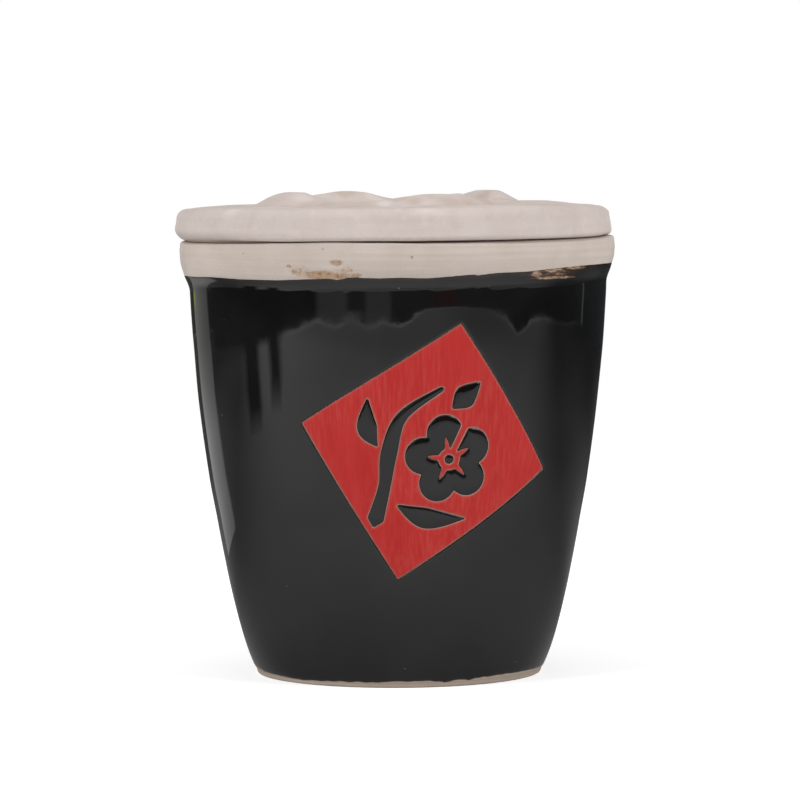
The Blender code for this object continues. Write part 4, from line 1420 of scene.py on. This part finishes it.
def add_camera():
    lens = bpy.data.cameras.new("photo_view")
    lens.sensor_width = SENSOR_WIDTH
    lens.lens = FOCAL_PIXELS / PHOTO_SIDE * SENSOR_WIDTH
    camera = bpy.data.objects.new("photo_view", lens)
    bpy.context.scene.collection.objects.link(camera)
    tilt = Matrix.Rotation(math.pi / 2 - CAMERA_PITCH, 4, "X")
    roll = Matrix.Rotation(-CAMERA_ROLL, 4, "Z")
    camera.matrix_world = Matrix.Translation((CAMERA_SIDE, -CAMERA_DISTANCE, CAMERA_HEIGHT)) @ tilt @ roll
    bpy.context.scene.camera = camera


def seen_directly(tree):
    """1 for rays that see the studio itself or its mirror image."""
    rays = add_node(tree, "ShaderNodeLightPath").outputs
    seen = math_node(tree, "MAXIMUM", rays["Is Camera Ray"], rays["Is Glossy Ray"])
    return math_node(tree, "MAXIMUM", seen, rays["Is Transmission Ray"])


def add_world():
    world = bpy.data.worlds.new("pale_studio")
    world.use_nodes = True
    tree = world.node_tree
    bright = ranged(tree, seen_directly(tree), 0.0, 1.0, AMBIENT, 1.0)
    tree.links.new(bright, tree.nodes["Background"].inputs["Strength"])
    tree.nodes["Background"].inputs["Color"].default_value = (1.0, 1.0, 1.0, 1.0)
    bpy.context.scene.world = world


def add_floor():
    """A plain white table. Its mirror image darkens to all sides with painted shade, and has a painted
    gleam along its edge.
    """
    made, tree, shader = new_material("pale_table")
    set_shader(shader, Roughness=0.9, Specular_IOR_Level=0.0, Emission_Color=(1.0, 1.0, 1.0, 1.0))
    rays = add_node(tree, "ShaderNodeLightPath").outputs
    place = axes_of(tree, object_place(tree))
    image = ranged(tree, attribute_value(tree, "gleam"), 0.0, 1.0, 1.0, TABLE_EDGE_GLEAM)
    image = times(tree, image, TABLE_MIRRORED)
    for axis, start, end, left in TABLE_SHADES:
        image = times(tree, image, ranged(tree, place[axis], start, end, 1.0, left))
    darker = times(tree, math_node(tree, "SUBTRACT", 1.0, image), rays["Is Glossy Ray"])
    tone = times(tree, math_node(tree, "SUBTRACT", 1.0, darker), FLOOR_TONE)
    tree.links.new(tone, shader.inputs["Base Color"])
    lift = times(tree, rays["Is Camera Ray"], FLOOR_LIFT)
    tree.links.new(lift, shader.inputs["Emission Strength"])
    turns = np.arange(-TABLE_HALF_COLUMNS, TABLE_HALF_COLUMNS) * math.pi / TABLE_HALF_COLUMNS
    edge = 3 * TABLE_FRONT / (1 + 2 * np.cos(turns / 2)) * eased(np.degrees(turns), TABLE_EDGE)
    edge = np.minimum(edge, TABLE_FARTHEST)
    rings = [at_angle(turns, edge * share, 0) for share in reversed(TABLE_RINGS)]
    points = np.vstack((*rings, [(0.0, 0.0, 0.0)]))
    centre = len(points) - 1
    inner_ring = np.arange(centre - len(turns), centre)
    faces = [*ring_faces(len(rings), len(turns)), *cap_faces(inner_ring, centre, True)]
    gleam = np.repeat((1.0, 1.0, 0.0, 0.0), (len(turns), len(turns), len(turns), 1))
    table = make_piece("table", points, faces, made, {"gleam": gleam})


def show_mirrored_only(piece):
    piece.visible_camera = False
    piece.visible_diffuse = False
    piece.visible_shadow = False
    piece.visible_transmission = False


def glowing_material(name, bright, tint):
    """A surface that is seen only by its own light."""
    made, tree, shader = new_material(name)
    set_shader(shader, Base_Color=(0.0, 0.0, 0.0, 1.0), Roughness=1.0, Specular_IOR_Level=0.0)
    set_shader(shader, Emission_Color=(*tint, 1.0), Emission_Strength=bright)
    return made, tree, shader


def standing_card(name, turns, distance, heights, bright, tint):
    """An upright card that faces the jar. It fades out between the two outer of its four directions
    and heights on each side and the inner ones."""
    made, tree, shader = glowing_material(name, bright, tint)
    tree.links.new(attribute_value(tree, "solid"), shader.inputs["Alpha"])
    angles, levels = np.meshgrid(np.radians(turns), heights)
    points = at_angle(angles, distance, levels).reshape(-1, 3)
    solid = np.zeros(angles.shape)
    solid[1:-1, 1:-1] = 1
    index = np.arange(angles.size).reshape(angles.shape)
    quads = np.stack((index[:-1, :-1], index[1:, :-1], index[1:, 1:], index[:-1, 1:]), axis=-1)
    show_mirrored_only(make_piece(name, points, quads.reshape(-1, 4), made, {"solid": solid.ravel()}))


WHITE = (1.0, 1.0, 1.0)
DIM = 0.05  # brightness of the room
TALL = (-0.60, -0.50, 1.10, 1.20)  # heights of what stands far off
# Glowing cards that paint reflections, which only mirror images show: their directions round the jar, their
# distance, their heights, their brightness and their tint. They are solid between the middle two directions
# and heights
CARDS = {
    "left_card": ((-141, -139.5, -117, -115), 0.27, (-0.02, 0.00, 0.50, 0.60), 0.36, (1.0, 1.0, 0.95)),
    "left_glow": ((-141, -139, -118, -115), 0.268, (-0.03, 0.02, 0.055, 0.10), 0.72, WHITE),
    "left_leaf": ((-140, -138.5, -136.5, -135), 0.266, (0.118, 0.124, 0.15, 0.155), 0.60, (1.0, 1.0, 0.12)),
    "left_screen": ((-117, -115, -61, -57), 0.41, (0.069, 0.078, 0.85, 0.90), DIM, WHITE),
    "far_leg": ((-90, -86.5, -80, -76.5), 0.42, (-0.005, 0.022, 0.85, 0.90), DIM, WHITE),
    "near_leg": ((-73, -69.5, -66, -62.5), 0.46, (0.0, 0.04, 0.85, 0.90), DIM, WHITE),
    "right_card": ((120.5, 121.5, 160, 166), 1.30, (-0.60, -0.50, 0.80, 0.90), 0.033, (0.85, 0.97, 1.06)),
    "right_edge": ((119.5, 120, 121, 121.5), 1.28, (-0.02, 0.0, 0.25, 0.30), 0.36, WHITE),
    "wall_left": ((-46, -43, -29, -26), 2.1, TALL, 0.38, WHITE),
    "wall_middle": ((-19, -16, -5, -3), 2.1, TALL, 0.34, WHITE),
    "red_cloth": ((18, 21, 30, 33), 2.1, (-0.40, -0.30, 1.10, 1.20), 0.16, (1.0, 0.12, 0.10)),
}


def add_dim_room():
    """The dim room beyond the table, and what stands in it, as glowing surfaces that paint reflections.
    Only mirror images show them.
    """
    dim, _, _ = glowing_material("dim_glowing_room", DIM, WHITE)
    turns = np.arange(STUDIO_COLUMNS) * math.tau / STUDIO_COLUMNS
    points = np.vstack([at_angle(turns, STUDIO_REACH, height) for height in STUDIO_HEIGHTS])
    show_mirrored_only(make_piece("dim_glowing_room", points, ring_faces(2, STUDIO_COLUMNS), dim))
    for name, card in CARDS.items():
        standing_card(name, *card)


# Softboxes: degrees round from the front, height, distance, width, height of the box, and power
SOFTBOXES = {
    "key_box": (-56.0, 1.32, 1.8, 1.1, 1.1, 20.8),
    "fill_box": (60.0, 1.20, 1.8, 1.0, 1.0, 18.5),
}
LIT_PLACE = (0.0, 0.0, 0.09)


def add_softboxes():
    for name, (degrees, height, distance, width, tall, power) in SOFTBOXES.items():
        light = bpy.data.lights.new(name, "AREA")
        light.shape = "RECTANGLE"
        light.size = width
        light.size_y = tall
        light.energy = power
        box = bpy.data.objects.new(name, light)
        bpy.context.scene.collection.objects.link(box)
        box.location = at_angle(math.radians(degrees), distance, height)
        aim = Vector(LIT_PLACE) - box.location
        box.rotation_euler = aim.to_track_quat("-Z", "Y").to_euler()
        box.visible_camera = False


add_camera()
add_world()
add_floor()
add_dim_room()
add_softboxes()

view = bpy.context.scene.view_settings
view.view_transform = "Standard"
